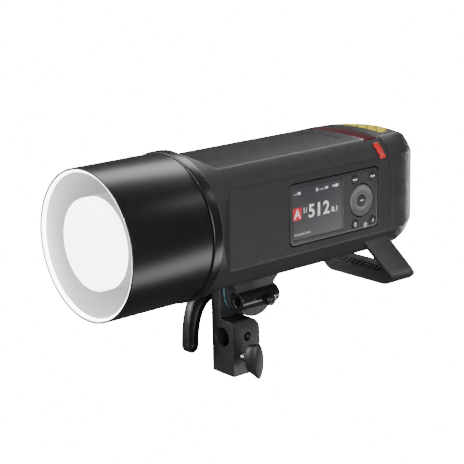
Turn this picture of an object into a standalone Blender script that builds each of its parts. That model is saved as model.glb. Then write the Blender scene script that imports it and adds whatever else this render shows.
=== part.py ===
"""Battery monolight: flash head with reflector, control panel, battery, grip and stand bracket.

Frame: origin at the mouth of the bracket's upright stand socket, +Z up, the lamp axis along Y,
the reflector towards -Y and the control panel on the +X side. Sizes are in metres.
"""
import math

import bmesh
import bpy
from mathutils import Matrix, Vector

# Driving dimensions
GAP = 0.0003            # clearance between pieces that touch
LAMP_Z = 0.1391         # height of the lamp axis over the socket mouth
BODY_HALF = 0.0500      # half width of the eight-sided body
BODY_TOP = 0.0494       # lamp axis to the body's top and bottom faces
TOP_HALF = 0.0381       # half width of the top and bottom faces
CROWN = 0.0028          # rise of the top face's middle over its edges
SIDE_UP = 0.0346        # lamp axis to the upper edge of the side faces
SIDE_DOWN = 0.0311      # lamp axis to the lower edge of the side faces
WALL = 0.0025
RIM_Y = -0.1485         # front edge of the reflector
RING_Y = -0.0702        # front of the mount ring
NOSE_Y = -0.0606        # front of the body's nose
FACET_Y = -0.0437       # where the flat sides start
SEAM_Y = 0.13865        # joint between body and battery
REAR_Y = 0.1804         # back of the battery
REFLECTOR_R = 0.0612
RING_R = 0.0623
DOME_R = 0.0374
PIVOT = Vector((0.0, 0.0131, 0.0716))   # tilt axis, along X
KNUCKLE_R = 0.0218
SOCKET_R = 0.0082       # takes a 16 mm stand spigot
SOCKET_Z = 0.0331       # height of the forward-facing socket
BLOCK = ((-0.0135, -0.0124), (0.0135, 0.0187))   # stand block, low and high x, y
BLOCK_TOP = 0.0489
ARM_X = -0.0019         # inner face of the bracket's arm
KNOB_Z = 0.0165         # height of the stand knob's screw
BARREL_X, BARREL_Z = 0.0125, 0.0660      # umbrella tube's axis
BARREL_R, BARREL_BORE = 0.0080, 0.0042
WINDOW_Y = (0.1195, 0.1358)
INLAY_Y = (0.1263, 0.1325)
PANEL_Y, PANEL_Z = (0.0209, 0.1249), (0.1145, 0.1670)
DIAL = (0.1043, 0.1404)
DIAL_R = 0.0138
BUTTONS = {"button_menu": (0.0963, 0.1596), "button_group": (0.1176, 0.1596),
           "button_lamp": (0.0966, 0.1206), "button_test": (0.1180, 0.1206)}
BUTTON_R = 0.0034
HANDLE_X = 0.0463       # outer face of the grip's side plates
HANDLE_BOTTOM = 0.0522
FINE, COARSE = 64, 32   # sides of large and small round pieces

AXES = {"X": Matrix(((0, 0, 1, 0), (1, 0, 0, 0), (0, 1, 0, 0), (0, 0, 0, 1))),
        "Y": Matrix(((0, 1, 0, 0), (0, 0, 1, 0), (1, 0, 0, 0), (0, 0, 0, 1))),
        "Z": Matrix.Identity(4)}


def start_scene():
    """Empty the scene and make the collections for the parts and for the cutters."""
    for obj in list(bpy.data.objects):
        bpy.data.objects.remove(obj)
    made = []
    for name in ("monolight", "cutters"):
        group = bpy.data.collections.new(name)
        bpy.context.scene.collection.children.link(group)
        made.append(group)
    return made


PARTS, CUTTERS = start_scene()


def material(name, colour, roughness, metallic=0.0, alpha=1.0):
    """Principled material, made once for each name."""
    found = bpy.data.materials.get(name)
    if found:
        return found
    made = bpy.data.materials.new(name)
    made.use_nodes = True
    shader = made.node_tree.nodes["Principled BSDF"]
    shader.inputs["Base Color"].default_value = (*colour, 1.0)
    shader.inputs["Roughness"].default_value = roughness
    shader.inputs["Metallic"].default_value = metallic
    shader.inputs["Alpha"].default_value = alpha
    made.diffuse_color = (*colour, 1.0)
    return made


def shell_black():
    return material("shell_black", (0.045, 0.045, 0.047), 0.55)


def gloss_black():
    return material("gloss_black", (0.012, 0.012, 0.013), 0.2)


def cast_grey():
    return material("cast_grey", (0.055, 0.056, 0.06), 0.5, 0.2)


def steel():
    return material("steel", (0.62, 0.62, 0.63), 0.3, 1.0)


def place(obj, look, group=None):
    """Put an object in its collection with its material and smooth round faces."""
    (group or PARTS).objects.link(obj)
    obj.data.materials.clear()
    if look:
        obj.data.materials.append(look)
    obj.data.shade_smooth()
    obj.data.set_sharp_from_angle(angle=math.radians(32))
    return obj


def hide(obj):
    """Make an object a cutter, which the model itself leaves out."""
    for group in list(obj.users_collection):
        group.objects.unlink(obj)
    CUTTERS.objects.link(obj)
    obj.hide_render = True
    obj.display_type = "WIRE"
    return obj


def boolean(obj, tool, operation="DIFFERENCE"):
    """Cut or join one object with a hidden tool."""
    step = obj.modifiers.new(operation.lower(), "BOOLEAN")
    step.operation = operation
    step.solver = "EXACT"
    step.object = hide(tool)
    return obj


def rounded(corners, radius, steps=4):
    """Corner points with an arc of the given radius at each; radius may be a list."""
    radii = radius if isinstance(radius, (list, tuple)) else [radius] * len(corners)
    points = []
    count = len(corners)
    for i, r in enumerate(radii):
        here = Vector(corners[i])
        back = (Vector(corners[i - 1]) - here).normalized()
        ahead = (Vector(corners[(i + 1) % count]) - here).normalized()
        if r <= 0.0:
            points.append(tuple(here))
            continue
        half = math.acos(max(-1.0, min(1.0, back.dot(ahead)))) / 2
        centre = here + (back + ahead).normalized() * (r / math.sin(half))
        start = here + back * (r / math.tan(half)) - centre
        end = here + ahead * (r / math.tan(half)) - centre
        turn = math.atan2(start.x * end.y - start.y * end.x, start.dot(end))
        for k in range(steps + 1):
            a = turn * k / steps
            points.append((centre.x + start.x * math.cos(a) - start.y * math.sin(a),
                           centre.y + start.x * math.sin(a) + start.y * math.cos(a)))
    return points


def rectangle(low, high):
    """The four corners of a rectangle."""
    return [(low[0], low[1]), (high[0], low[1]), (high[0], high[1]), (low[0], high[1])]


def slab(name, outline, low, high, axis, look, holes=()):
    """A flat outline, made as a filled 2D curve, from low to high along an axis.

    The outline is in the two other axes: (y, z) for X, (x, z) for Y and (x, y) for Z.
    """
    flip = axis == "Y"
    curve = bpy.data.curves.new(name, "CURVE")
    curve.dimensions = "2D"
    curve.fill_mode = "BOTH"
    curve.extrude = (high - low) / 2
    for ring in (outline, *holes):
        spline = curve.splines.new("POLY")
        spline.points.add(len(ring) - 1)
        spline.use_cyclic_u = True
        for point, (a, b) in zip(spline.points, ring):
            point.co = (b, a, 0, 1) if flip else (a, b, 0, 1)
    obj = bpy.data.objects.new(name + "_outline", curve)
    PARTS.objects.link(obj)
    turn = AXES[axis].copy()
    turn.translation = turn.to_3x3() @ Vector((0, 0, (low + high) / 2))
    obj.matrix_world = turn
    return from_curve(name, obj, look)


def from_curve(name, curve_object, look):
    """Turn a curve object into a closed mesh object of the same shape and place."""
    bpy.context.view_layer.update()
    graph = bpy.context.evaluated_depsgraph_get()
    mesh = bpy.data.meshes.new_from_object(curve_object.evaluated_get(graph))
    mesh.transform(curve_object.matrix_world)
    solid = bmesh.new()
    solid.from_mesh(mesh)
    bmesh.ops.remove_doubles(solid, verts=solid.verts, dist=1e-6)
    bmesh.ops.recalc_face_normals(solid, faces=solid.faces)
    solid.to_mesh(mesh)
    solid.free()
    bpy.data.objects.remove(curve_object)
    return place(bpy.data.objects.new(name, mesh), look)


def turned(name, profile, centre, axis, look, steps=FINE):
    """A turned piece: (radius, distance along the axis) points swept by a Screw modifier.

    Points run down the outer side, from the far end of the axis to the near end. A profile
    that starts on the axis stays open, and any other is closed into a ring.
    """
    mesh = bpy.data.meshes.new(name)
    count = len(profile)
    edges = [(i, i + 1) for i in range(count - 1)]
    if profile[0][0] > 0 or profile[-1][0] > 0:
        edges.append((count - 1, 0))
    mesh.from_pydata([(r, 0, h) for r, h in profile], edges, [])
    obj = bpy.data.objects.new(name, mesh)
    sweep = obj.modifiers.new("turn", "SCREW")
    sweep.steps = steps
    sweep.render_steps = steps
    sweep.use_merge_vertices = True
    sweep.merge_threshold = 0.00001
    sweep.use_smooth_shade = True
    place(obj, look)
    obj.matrix_world = Matrix.Translation(centre) @ AXES[axis]
    return obj


def rod(name, radius, low, high, centre, axis, look, steps=COARSE):
    """A plain cylinder along an axis; low and high are distances from the centre."""
    return turned(name, [(0, high), (radius, high), (radius, low), (0, low)],
                  centre, axis, look, steps)


def tube(name, outer, inner, low, high, centre, axis, look, steps=COARSE):
    """A plain tube along an axis."""
    ring = [(inner, high), (outer, high), (outer, low), (inner, low)]
    return turned(name, ring, centre, axis, look, steps)


def box(name, low, high, look, bevel=0.0):
    """A block between two corners, with its edges bevelled."""
    size = [h - l for l, h in zip(low, high)]
    solid = bmesh.new()
    bmesh.ops.create_cube(solid, size=1.0)
    bmesh.ops.scale(solid, vec=size, verts=solid.verts)
    mesh = bpy.data.meshes.new(name)
    solid.to_mesh(mesh)
    solid.free()
    obj = place(bpy.data.objects.new(name, mesh), look)
    obj.location = [(h + l) / 2 for l, h in zip(low, high)]
    if bevel:
        edge = obj.modifiers.new("edges", "BEVEL")
        edge.width = bevel
        edge.segments = 2
    return obj


def octagon(flare, inset=0.0):
    """Outline distance from the lamp axis for each angle, seen from the front.

    A circle of the nose's radius is cut by seven flats and by the crowned top. flare moves
    them outwards, from 0 on the body to 1 where the nose is fully round.
    """
    circle = 0.0612 - inset
    flats = []
    for sx in (1, -1):
        flats.append(((sx, 0.0), BODY_HALF))
        for sz, side in ((1, SIDE_UP), (-1, SIDE_DOWN)):
            run = Vector((side - BODY_TOP, -(BODY_HALF - TOP_HALF)))
            normal = Vector((abs(run.x), abs(run.y))).normalized()
            reach = normal.x * BODY_HALF + normal.y * side
            flats.append(((sx * normal.x, sz * normal.y), reach))
    flats.append(((0.0, -1.0), BODY_TOP))
    points = []
    for i in range(FINE):
        a = 2 * math.pi * (i + 0.5) / FINE
        ray = (math.cos(a), math.sin(a))
        reach = circle
        for normal, distance in flats:
            facing = normal[0] * ray[0] + normal[1] * ray[1]
            if facing > 0.05:
                moved = distance - inset + flare * (0.0612 - distance)
                reach = min(reach, moved / facing)
        if ray[1] > 0.05:
            peak = BODY_TOP + CROWN - inset
            peak += flare * (0.0612 - peak)
            bend = CROWN * (ray[0] / TOP_HALF) ** 2
            root = math.sqrt(ray[1] ** 2 + 4 * bend * peak)
            reach = min(reach, 2 * peak / (ray[1] + root))
        points.append((ray[0] * reach, ray[1] * reach))
    return points


def loft(name, sections, look, cap_front=False, cap_rear=False):
    """Skin a list of (y, outline) sections into one open or capped surface."""
    skin = bmesh.new()
    rings = [[skin.verts.new((x, y, LAMP_Z + z)) for x, z in outline] for y, outline in sections]
    for near, far in zip(rings, rings[1:]):
        for i in range(len(near)):
            j = (i + 1) % len(near)
            skin.faces.new((near[i], near[j], far[j], far[i]))
    if cap_front:
        skin.faces.new(rings[0])
    if cap_rear:
        skin.faces.new(list(reversed(rings[-1])))
    bmesh.ops.recalc_face_normals(skin, faces=skin.faces)
    if not (cap_front and cap_rear) and skin.faces[0].normal.dot(
            skin.faces[0].calc_center_median() - Vector((0, 0, LAMP_Z))) < 0:
        bmesh.ops.reverse_faces(skin, faces=skin.faces)
    mesh = bpy.data.meshes.new(name)
    skin.to_mesh(mesh)
    skin.free()
    return place(bpy.data.objects.new(name, mesh), look)


def thicken(obj, wall=WALL):
    """Give an open surface its wall, on the inner side."""
    step = obj.modifiers.new("wall", "SOLIDIFY")
    step.thickness = wall
    step.offset = -1.0
    step.use_even_offset = True
    return obj


def scaled(outline, width, height):
    """An outline squeezed towards the lamp axis."""
    return [(x * width, z * height) for x, z in outline]


# Stand bracket ---------------------------------------------------------------------------

def arm_profile():
    """Side outline (y, z) of the bracket's upright arm, round about the tilt axis on top."""
    front, rear = BLOCK[0][1], BLOCK[1][1]
    crown = 0.0172
    points = [(front, BLOCK_TOP - 0.002), (rear - 0.004, BLOCK_TOP - 0.002)]
    for k in range(13):
        a = math.radians(-20 + 150 * k / 12)
        points.append((PIVOT.y + crown * math.cos(a), PIVOT.z + crown * math.sin(a)))
    points.append((front, PIVOT.z + 0.003))
    return points


def make_bracket():
    low, high = BLOCK
    outline = rounded(rectangle((low[1], 0.0), (high[1], BLOCK_TOP)), [0.002, 0.002, 0.012, 0.0])
    block = slab("bracket", outline, low[0], high[0], "X", cast_grey())
    arm = slab("arm_stock", arm_profile(), low[0] + 0.00001, ARM_X, "X", None)
    boolean(block, arm, "UNION")
    boolean(block, rod("socket_cut", SOCKET_R, -0.01, 0.030, (0, 0, 0), "Z", None))
    boolean(block, rod("front_socket_cut", SOCKET_R, low[1] - 0.01, 0.0125, (0, 0, SOCKET_Z),
                       "Y", None))
    boolean(block, rod("knob_hole_cut", 0.0032, 0.004, 0.02, (0, 0, KNOB_Z), "X", None, 16))
    boolean(block, rod("spare_hole_cut", 0.0032, 0.004, 0.02, (0, 0.0045, SOCKET_Z), "X", None, 16))
    boolean(block, rod("pivot_cut", 0.0043, -0.02, 0.005, PIVOT, "X", None, 24))
    return block


def make_tilt_joint():
    """Friction ring on the knuckle's side, cut off under the body, and the tilt bolt."""
    ceiling = LAMP_Z - BODY_TOP - GAP
    limit = math.asin((ceiling - PIVOT.z) / 0.0216)
    sweep = math.pi + 2 * limit
    rim = [(PIVOT.y + 0.0216 * math.cos(limit - sweep * k / 40),
            PIVOT.z + 0.0216 * math.sin(limit - sweep * k / 40)) for k in range(41)]
    slab("friction_ring", rim, -0.0016, -0.0007, "X",
         material("washer_teal", (0.25, 0.62, 0.65), 0.5), [circle(PIVOT.y, PIVOT.z, 0.0120, 24)])
    rod("tilt_bolt", 0.0040, -0.0136, 0.0030, PIVOT, "X", steel(), 24)


def make_stand_knob():
    """Paddle knob on its threaded screw, which grips the stand spigot."""
    centre = (0, 0, KNOB_Z)
    rod("stand_screw", 0.0029, 0.0090, 0.0197, centre, "X", steel(), 16)
    half_lens = []
    tall, deep = 0.0160, 0.0054
    for k in range(24):
        a = 2 * math.pi * k / 24
        half_lens.append((deep * math.sin(a), KNOB_Z + tall * math.cos(a)))
    knob = slab("stand_knob", half_lens, 0.0200, 0.0332, "X",
                material("knob_black", (0.03, 0.03, 0.032), 0.5))
    inner = 0.0266
    for vertex in knob.data.vertices:
        if vertex.co.x < inner:
            vertex.co.z = KNOB_Z + (vertex.co.z - KNOB_Z) * 0.78
    return knob


LEVER_LINE = ((0.0131, 0.0716, 0.0105), (-0.0040, 0.0715, 0.0090), (-0.0145, 0.0672, 0.0080),
              (-0.0222, 0.0590, 0.0074), (-0.0264, 0.0490, 0.0068), (-0.0288, 0.0370, 0.0064),
              (-0.0297, 0.0250, 0.0062))   # y, z and half depth along the lever's middle


def band(line, first_cap, last_cap):
    """Outline of a bent band: its middle line offset both ways, with half-round ends."""
    left, right, turns = [], [], []
    for i, (y, z, half) in enumerate(line):
        before, after = line[max(i - 1, 0)], line[min(i + 1, len(line) - 1)]
        along = Vector((after[0] - before[0], after[1] - before[1])).normalized()
        left.append((y - along.y * half, z + along.x * half))
        right.append((y + along.y * half, z - along.x * half))
        turns.append(math.atan2(along.x, -along.y))
    outline = list(left)
    y, z, half = line[-1]
    for k in range(1, last_cap):
        a = turns[-1] - math.pi * k / last_cap
        outline.append((y + half * math.cos(a), z + half * math.sin(a)))
    outline += right[::-1]
    y, z, half = line[0]
    for k in range(1, first_cap):
        a = turns[0] + math.pi - math.pi * k / first_cap
        outline.append((y + half * math.cos(a), z + half * math.sin(a)))
    return outline


def make_tilt_lever():
    """Hooked lever on the -X side of the arm, which clamps the tilt."""
    lever = slab("tilt_lever", band(LEVER_LINE, 10, 8), -0.0262, -0.0172, "X", gloss_black())
    hollow = [(y, z, half - 0.0024) for y, z, half in LEVER_LINE[2:]]
    boolean(lever, slab("channel_cut", band(hollow, 4, 6), -0.0225, -0.0160, "X", None))
    boolean(lever, rod("lever_hub", 0.0095, -0.0174, -0.0139, PIVOT, "X", None, 24), "UNION")
    rod("lever_screw", 0.0048, -0.0290, -0.0266, PIVOT, "X", steel(), 24)
    return lever


# Knuckle and umbrella holder -------------------------------------------------------------

def knuckle_profile():
    """Side outline (y, z): a disc about the tilt axis that flares up into the body's floor."""
    top = LAMP_Z - BODY_TOP - GAP
    points = [(PIVOT.y + 0.041, top), (PIVOT.y - 0.033, top), (PIVOT.y - 0.027, top - 0.004)]
    for k in range(21):
        a = math.radians(168 + 204 * k / 20)
        points.append((PIVOT.y + KNUCKLE_R * math.cos(a), PIVOT.z + KNUCKLE_R * math.sin(a)))
    points.append((PIVOT.y + 0.0262, top - 0.0085))
    points.append((PIVOT.y + 0.0325, top - 0.0035))
    return points


def make_knuckle():
    knuckle = slab("tilt_knuckle", knuckle_profile(), -0.0004, 0.0150, "X", shell_black())
    boolean(knuckle, rod("barrel_cut", BARREL_R + GAP, -0.05, 0.08, (BARREL_X, 0, BARREL_Z),
                         "Y", None))
    boolean(knuckle, rod("bolt_cut", 0.0043, -0.01, 0.0034, PIVOT, "X", None, 24))
    tube_part = tube("umbrella_tube", BARREL_R, BARREL_BORE, -0.0062, 0.0360,
                     (BARREL_X, 0, BARREL_Z), "Y", gloss_black())
    boolean(tube_part, rod("umbrella_screw_cut", 0.0024, 0.003, 0.02,
                           (BARREL_X, 0.0175, BARREL_Z), "X", None, 16))
    base = (BARREL_X, 0.0175, BARREL_Z)
    turned("umbrella_screw", [(0, 0.0186), (0.0040, 0.0186), (0.0047, 0.0178), (0.0047, 0.0126),
                              (0.0040, 0.0118), (0.0021, 0.0118), (0.0021, 0.0046), (0, 0.0046)],
           base, "X", gloss_black(), 24)


# Housing ---------------------------------------------------------------------------------

def make_housing():
    """Nose ring, eight-sided body, its inner rear frame and the red sensor window."""
    turned("mount_ring", [(0.0545, RING_Y), (RING_R - 0.0008, RING_Y), (RING_R, RING_Y + 0.0008),
                          (RING_R, NOSE_Y - 0.0013), (RING_R - 0.001, NOSE_Y - GAP),
                          (0.0340, NOSE_Y - GAP), (0.0340, NOSE_Y - 0.0028),
                          (0.0545, NOSE_Y - 0.0028)][::-1],
           (0, 0, LAMP_Z), "Y", gloss_black())
    steps, rim = 5, NOSE_Y + 0.0012
    sections = [(NOSE_Y, octagon(1.0)), (rim, octagon(1.0))]
    for k in range(1, steps + 1):
        run = k / steps
        sections.append((rim + (FACET_Y - rim) * run, octagon(1.0 - run ** 0.8)))
    sections.append((SEAM_Y, octagon(0.0)))
    body = thicken(loft("main_housing", sections, shell_black()))
    panel_hole = rounded(rectangle((PANEL_Y[0] - GAP, PANEL_Z[0] - GAP),
                                   (PANEL_Y[1] + GAP, PANEL_Z[1] + GAP)), 0.005)
    boolean(body, slab("panel_cut", panel_hole, 0.045, 0.055, "X", None))
    boolean(body, window_stock("window_cut", GAP, 0.0030, 0.0040))
    for name, side in (("red_inlay_right", 1), ("red_inlay_left", -1)):
        boolean(body, inlay_stock(name + "_cut", side, GAP, 0.0016, 0.0030))
        inlay_stock(name, side, 0.0, 0.0013, 0.0)
    boolean(body, box_cut("port_cut", (-0.055, 0.0597, 0.1257), (-0.045, 0.0983, 0.1403)))
    for i, y in enumerate((-0.030, -0.022, -0.014, -0.006, 0.002, 0.010)):
        boolean(body, box_cut(f"vent_cut_{i}", (-0.055, y, 0.120), (-0.045, y + 0.004, 0.160)))
    window_stock("sensor_window", 0.0, 0.0, 0.0020)
    frame = loft("rear_frame", [(SEAM_Y - 0.006, octagon(0.0, WALL + GAP)),
                                (SEAM_Y - 0.003, octagon(0.0, WALL + GAP))],
                 shell_black(), True, True)
    boolean(frame, box_cut("terminal_cut", (-0.0203, 0.12, 0.1287), (0.0203, 0.15, 0.1473)))
    box("port_block", (-0.0495, 0.0600, 0.1260), (-0.0400, 0.0980, 0.1400),
        material("port_black", (0.02, 0.02, 0.02), 0.6))
    box("port_flap", (-0.0515, 0.0585, 0.1245), (-0.0503, 0.0995, 0.1415),
        material("flap_rubber", (0.035, 0.035, 0.036), 0.8))


def box_cut(name, low, high):
    return box(name, low, high, None)


def crown_height(x):
    """Height of the crowned top face over the frame's origin."""
    return LAMP_Z + BODY_TOP + CROWN * (1 - (x / TOP_HALF) ** 2)


def window_stock(name, grow, lift, deep):
    """Dark red sensor window: a band across the crowned top face."""
    half, count = 0.0368 + grow, 8
    across = [half - 2 * half * k / count for k in range(count + 1)]
    outline = [(x, crown_height(x) + lift) for x in across]
    outline += [(x, crown_height(x) - deep) for x in reversed(across)]
    return slab(name, outline, WINDOW_Y[0] - grow, WINDOW_Y[1] + grow, "Y",
                material("window_red", (0.16, 0.008, 0.014), 0.15))


def inlay_stock(name, side, grow, deep, lift):
    """Bright red inlay along one upper chamfer, from the side face's edge to the top's."""
    low = Vector((BODY_HALF, LAMP_Z + SIDE_UP))
    high = Vector((TOP_HALF, LAMP_Z + BODY_TOP))
    run = (high - low).normalized()
    out = Vector((run.y, -run.x))
    start, end = low + run * (0.0010 - grow), high - run * (0.0030 - grow)
    ring = [start + out * lift, end + out * lift, end - out * deep, start - out * deep]
    outline = [(side * p.x, p.y) for p in ring]
    return slab(name, outline, INLAY_Y[0] - grow, INLAY_Y[1] + grow, "Y",
                material("inlay_red", (0.85, 0.03, 0.03), 0.3))


# Control panel ---------------------------------------------------------------------------

def make_panel():
    """Inset panel with its display, dial, four buttons and indicator."""
    face = BODY_HALF - 0.0006
    back = face - 0.0026
    outline = rounded(rectangle((PANEL_Y[0], PANEL_Z[0]), (PANEL_Y[1], PANEL_Z[1])), 0.0047)
    screen = rounded(rectangle((0.0250, 0.1190), (0.0828, 0.1632)), 0.002, 3)
    holes = [screen]
    for y, z in BUTTONS.values():
        holes.append(circle(y, z, BUTTON_R + GAP, 24))
    holes.append(circle(*DIAL, DIAL_R + GAP, 40))
    holes.append(circle(0.1095, 0.1180, 0.0012 + GAP, 12))
    slab("display_panel", outline, back, face, "X",
         material("panel_black", (0.02, 0.02, 0.022), 0.3), holes)
    glass = rounded(rectangle((0.0253, 0.1193), (0.0825, 0.1629)), 0.002, 3)
    slab("display_glass", glass, back + 0.0012, face - 0.0004, "X",
         material("display_grey", (0.10, 0.10, 0.11), 0.12))
    box("display_module", (back - 0.0060, 0.0235, 0.1175), (back - 0.0005, 0.0840, 0.1645),
        material("module_grey", (0.3, 0.3, 0.3), 0.6))
    button_look = material("button_black", (0.03, 0.03, 0.031), 0.45)
    for name, (y, z) in BUTTONS.items():
        rod(name, BUTTON_R, back - 0.0010, face + 0.0006, (0, y, z), "X", button_look, 24)
    rod("indicator", 0.0012, back, face - 0.0002, (0, 0.1095, 0.1180), "X",
        material("indicator_lens", (0.6, 0.6, 0.55), 0.2), 12)
    turned("dial", [(0.0052, face + 0.0010), (DIAL_R - 0.0010, face + 0.0010),
                    (DIAL_R, face + 0.0002), (DIAL_R, back - 0.0012), (0.0052, back - 0.0012)],
           (0, *DIAL), "X", button_look, 48)
    rod("set_button", 0.0049, back - 0.0012, face + 0.0008, (0, *DIAL), "X", button_look, 24)
    box("control_board", (back - 0.0096, 0.0200, 0.1130), (back - 0.0080, 0.1250, 0.1680),
        material("board_green", (0.02, 0.12, 0.05), 0.5))


def circle(a, b, radius, steps):
    """Points round a circle, for a hole in a flat outline."""
    return [(a + radius * math.cos(2 * math.pi * k / steps),
             b + radius * math.sin(2 * math.pi * k / steps)) for k in range(steps)]


# Reflector -------------------------------------------------------------------------------

def bowl(offset, steps=5):
    """Silver bowl's curve: radius against depth, offset along its wall's thickness."""
    points = []
    for k in range(steps + 1):
        run = k / steps
        radius = 0.0575 - 0.0095 * run ** 1.6 + offset
        points.append((radius, RIM_Y + 0.0030 + 0.0690 * run))
    return points


def make_reflector():
    rear = RING_Y - GAP
    turned("reflector_shell", [(0.0492, rear + 0.0050), (0.0520, rear + 0.0050),
                               (0.0520, rear), (REFLECTOR_R - 0.0006, rear),
                               (REFLECTOR_R, rear - 0.0006), (REFLECTOR_R, RIM_Y + 0.0006),
                               (REFLECTOR_R - 0.0006, RIM_Y), (0.0598, RIM_Y),
                               (0.0598, rear - 0.0016), (0.0492, rear - 0.0016)],
           (0, 0, LAMP_Z), "Y", material("reflector_black", (0.02, 0.02, 0.021), 0.35))
    inner = [(0.0594, RIM_Y + 0.0002)] + bowl(0.0)
    outer = [(0.0594, RIM_Y + 0.0032)] + bowl(0.0009)[1:]
    turned("reflector_bowl", outer[::-1] + inner, (0, 0, LAMP_Z), "Y",
           material("bowl_silver", (0.75, 0.75, 0.76), 0.3, 1.0))


# Lamp ------------------------------------------------------------------------------------

def make_lamp():
    axis = (0, 0, LAMP_Z)
    front = RIM_Y + 0.0060
    seat = NOSE_Y - 0.0146
    wall = 0.0020
    outside = [(0, front), (0.0150, front + 0.0004), (0.0270, front + 0.0020),
               (0.0335, front + 0.0050), (0.0365, front + 0.0095), (DOME_R, front + 0.0150),
               (DOME_R, seat - GAP)]
    inside = [(max(r - wall, 0), h + (wall if h < seat - 0.001 else 0)) for r, h in outside]
    turned("glass_dome", inside + outside[::-1], axis, "Y",
           material("frosted_glass", (0.9, 0.9, 0.9), 0.4, 0.0, 0.6), 48)
    turned("lamp_base", [(0, NOSE_Y + 0.0030), (0.0336, NOSE_Y + 0.0030), (0.0336, seat + 0.0030),
                         (0.0476, seat + 0.0030), (0.0476, seat), (0, seat)], axis, "Y",
           material("ceramic_white", (0.8, 0.79, 0.76), 0.5), 48)
    lamp = seat - GAP
    turned("modelling_lamp", [(0, lamp), (0.0110, lamp), (0.0110, lamp - 0.0030),
                              (0.0075, lamp - 0.0045), (0, lamp - 0.0055)], axis, "Y",
           material("lamp_yellow", (0.85, 0.75, 0.35), 0.4), 24)
    make_flash_tube(lamp)


def make_flash_tube(seat):
    """Ring-shaped discharge tube whose two ends stand in the lamp base."""
    ring, front = 0.0180, seat - 0.0350
    points = [(0.0180 * math.cos(0.35), seat - 0.0001, 0.0180 * math.sin(0.35))]
    for k in range(19):
        a = 0.35 + (2 * math.pi - 0.70) * k / 18
        points.append((ring * math.cos(a), front, ring * math.sin(a)))
    points.append((0.0180 * math.cos(0.35), seat - 0.0001, -0.0180 * math.sin(0.35)))
    curve = bpy.data.curves.new("flash_tube", "CURVE")
    curve.dimensions = "3D"
    curve.bevel_depth = 0.0030
    curve.bevel_resolution = 2
    curve.use_fill_caps = True
    spline = curve.splines.new("POLY")
    spline.points.add(len(points) - 1)
    for point, (x, y, z) in zip(spline.points, points):
        point.co = (x, y, LAMP_Z + z, 1)
    obj = bpy.data.objects.new("flash_tube_path", curve)
    PARTS.objects.link(obj)
    from_curve("flash_tube", obj, material("tube_glass", (0.85, 0.85, 0.82), 0.15))


# Electronics -----------------------------------------------------------------------------

def make_electronics():
    foil = material("capacitor_sleeve", (0.03, 0.03, 0.05), 0.35)
    for i, (x, z) in enumerate(((-0.0190, 0.1200), (0.0150, 0.1200), (-0.0190, 0.1560))):
        rod(f"capacitor_{i + 1}", 0.0160, -0.0480, 0.0300, (x, 0, z), "Y", foil, 24)
    box("power_board", (-0.0330, -0.0480, 0.0970), (0.0330, 0.0880, 0.0986),
        material("board_green", (0.02, 0.12, 0.05), 0.5))
    fins = []
    low, high, foot, pitch = 0.1100, 0.1560, 0.0030, 0.0046
    z = low
    while z < high:
        fins += [(-0.0120, z), (-0.0120, z + 0.0016), (-0.0300, z + 0.0016)]
        z += pitch
        fins.append((-0.0300, z))
    comb = [(-0.0300 - foot, low)] + fins[:-1] + [(-0.0300 - foot, z - pitch + 0.0016)]
    slab("heat_sink", comb, 0.0360, 0.0860, "Y", material("fin_alloy", (0.6, 0.6, 0.61), 0.4, 1.0))
    centre = (0, 0.1030, LAMP_Z)
    frame = box("fan_frame", (-0.0300, 0.0960, LAMP_Z - 0.0300), (0.0300, 0.1100, LAMP_Z + 0.0300),
                material("fan_black", (0.03, 0.03, 0.03), 0.5))
    boolean(frame, rod("fan_bore_cut", 0.0278, -0.012, 0.0085, centre, "Y", None, 48))
    blades = []
    count = 7
    for k in range(count):
        a = 2 * math.pi * k / count
        for turn, radius in ((0.0, 0.0100), (0.10, 0.0262), (0.52, 0.0262), (0.62, 0.0100)):
            blades.append((radius * math.cos(a + turn), LAMP_Z + radius * math.sin(a + turn)))
    slab("fan_rotor", blades, 0.0980, 0.1060, "Y", material("fan_black", (0.03, 0.03, 0.03), 0.5))


# Battery ---------------------------------------------------------------------------------

def battery_sections():
    """(y, width factor, height factor) of the battery's outline, front to back."""
    return [(SEAM_Y + GAP, 1.0, 1.0), (0.1500, 0.972, 0.998), (0.1640, 0.890, 0.982),
            (0.1740, 0.810, 0.950), (0.1788, 0.760, 0.915), (REAR_Y, 0.715, 0.870)]


def make_battery():
    """Battery pack that closes the back of the body: cup, front cover, cells and latch."""
    front = SEAM_Y + GAP
    outline = octagon(0.0)
    cup = loft("battery_case", [(y, scaled(outline, w, h)) for y, w, h in battery_sections()],
               shell_black(), True, True)
    inner = [(front - 0.002, octagon(0.0, WALL)), (front + 0.0030, octagon(0.0, WALL))]
    for y, w, h in battery_sections()[1:-1]:
        inner.append((y - 0.0010, scaled(outline, w * 0.94, h * 0.94)))
    boolean(cup, loft("cell_bay_cut", inner, None, True, True))
    boolean(cup, box_cut("latch_cut", (-0.0520, 0.1437, 0.1297), (-0.0440, 0.1563, 0.1483)))
    loft("battery_cover", [(front + 0.0005, octagon(0.0, WALL + GAP)),
                           (front + 0.0025, octagon(0.0, WALL + GAP))],
         material("cover_black", (0.03, 0.03, 0.03), 0.6), True, True)
    box("battery_terminals", (-0.0200, SEAM_Y - 0.0065, 0.1290), (0.0200, front + 0.0002, 0.1470),
        material("terminal_brass", (0.75, 0.6, 0.3), 0.3, 1.0))
    for row, z in enumerate((0.1165, 0.1391, 0.1617)):
        box(f"cell_row_{row + 1}", (-0.0330, 0.1450, z - 0.0100), (0.0330, 0.1650, z + 0.0100),
            material("cell_blue", (0.05, 0.18, 0.42), 0.4), 0.006)
    box("battery_latch", (-0.0502, 0.1440, 0.1300), (-0.0452, 0.1560, 0.1480),
        material("latch_grey", (0.08, 0.08, 0.082), 0.5))
    make_label()


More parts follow.
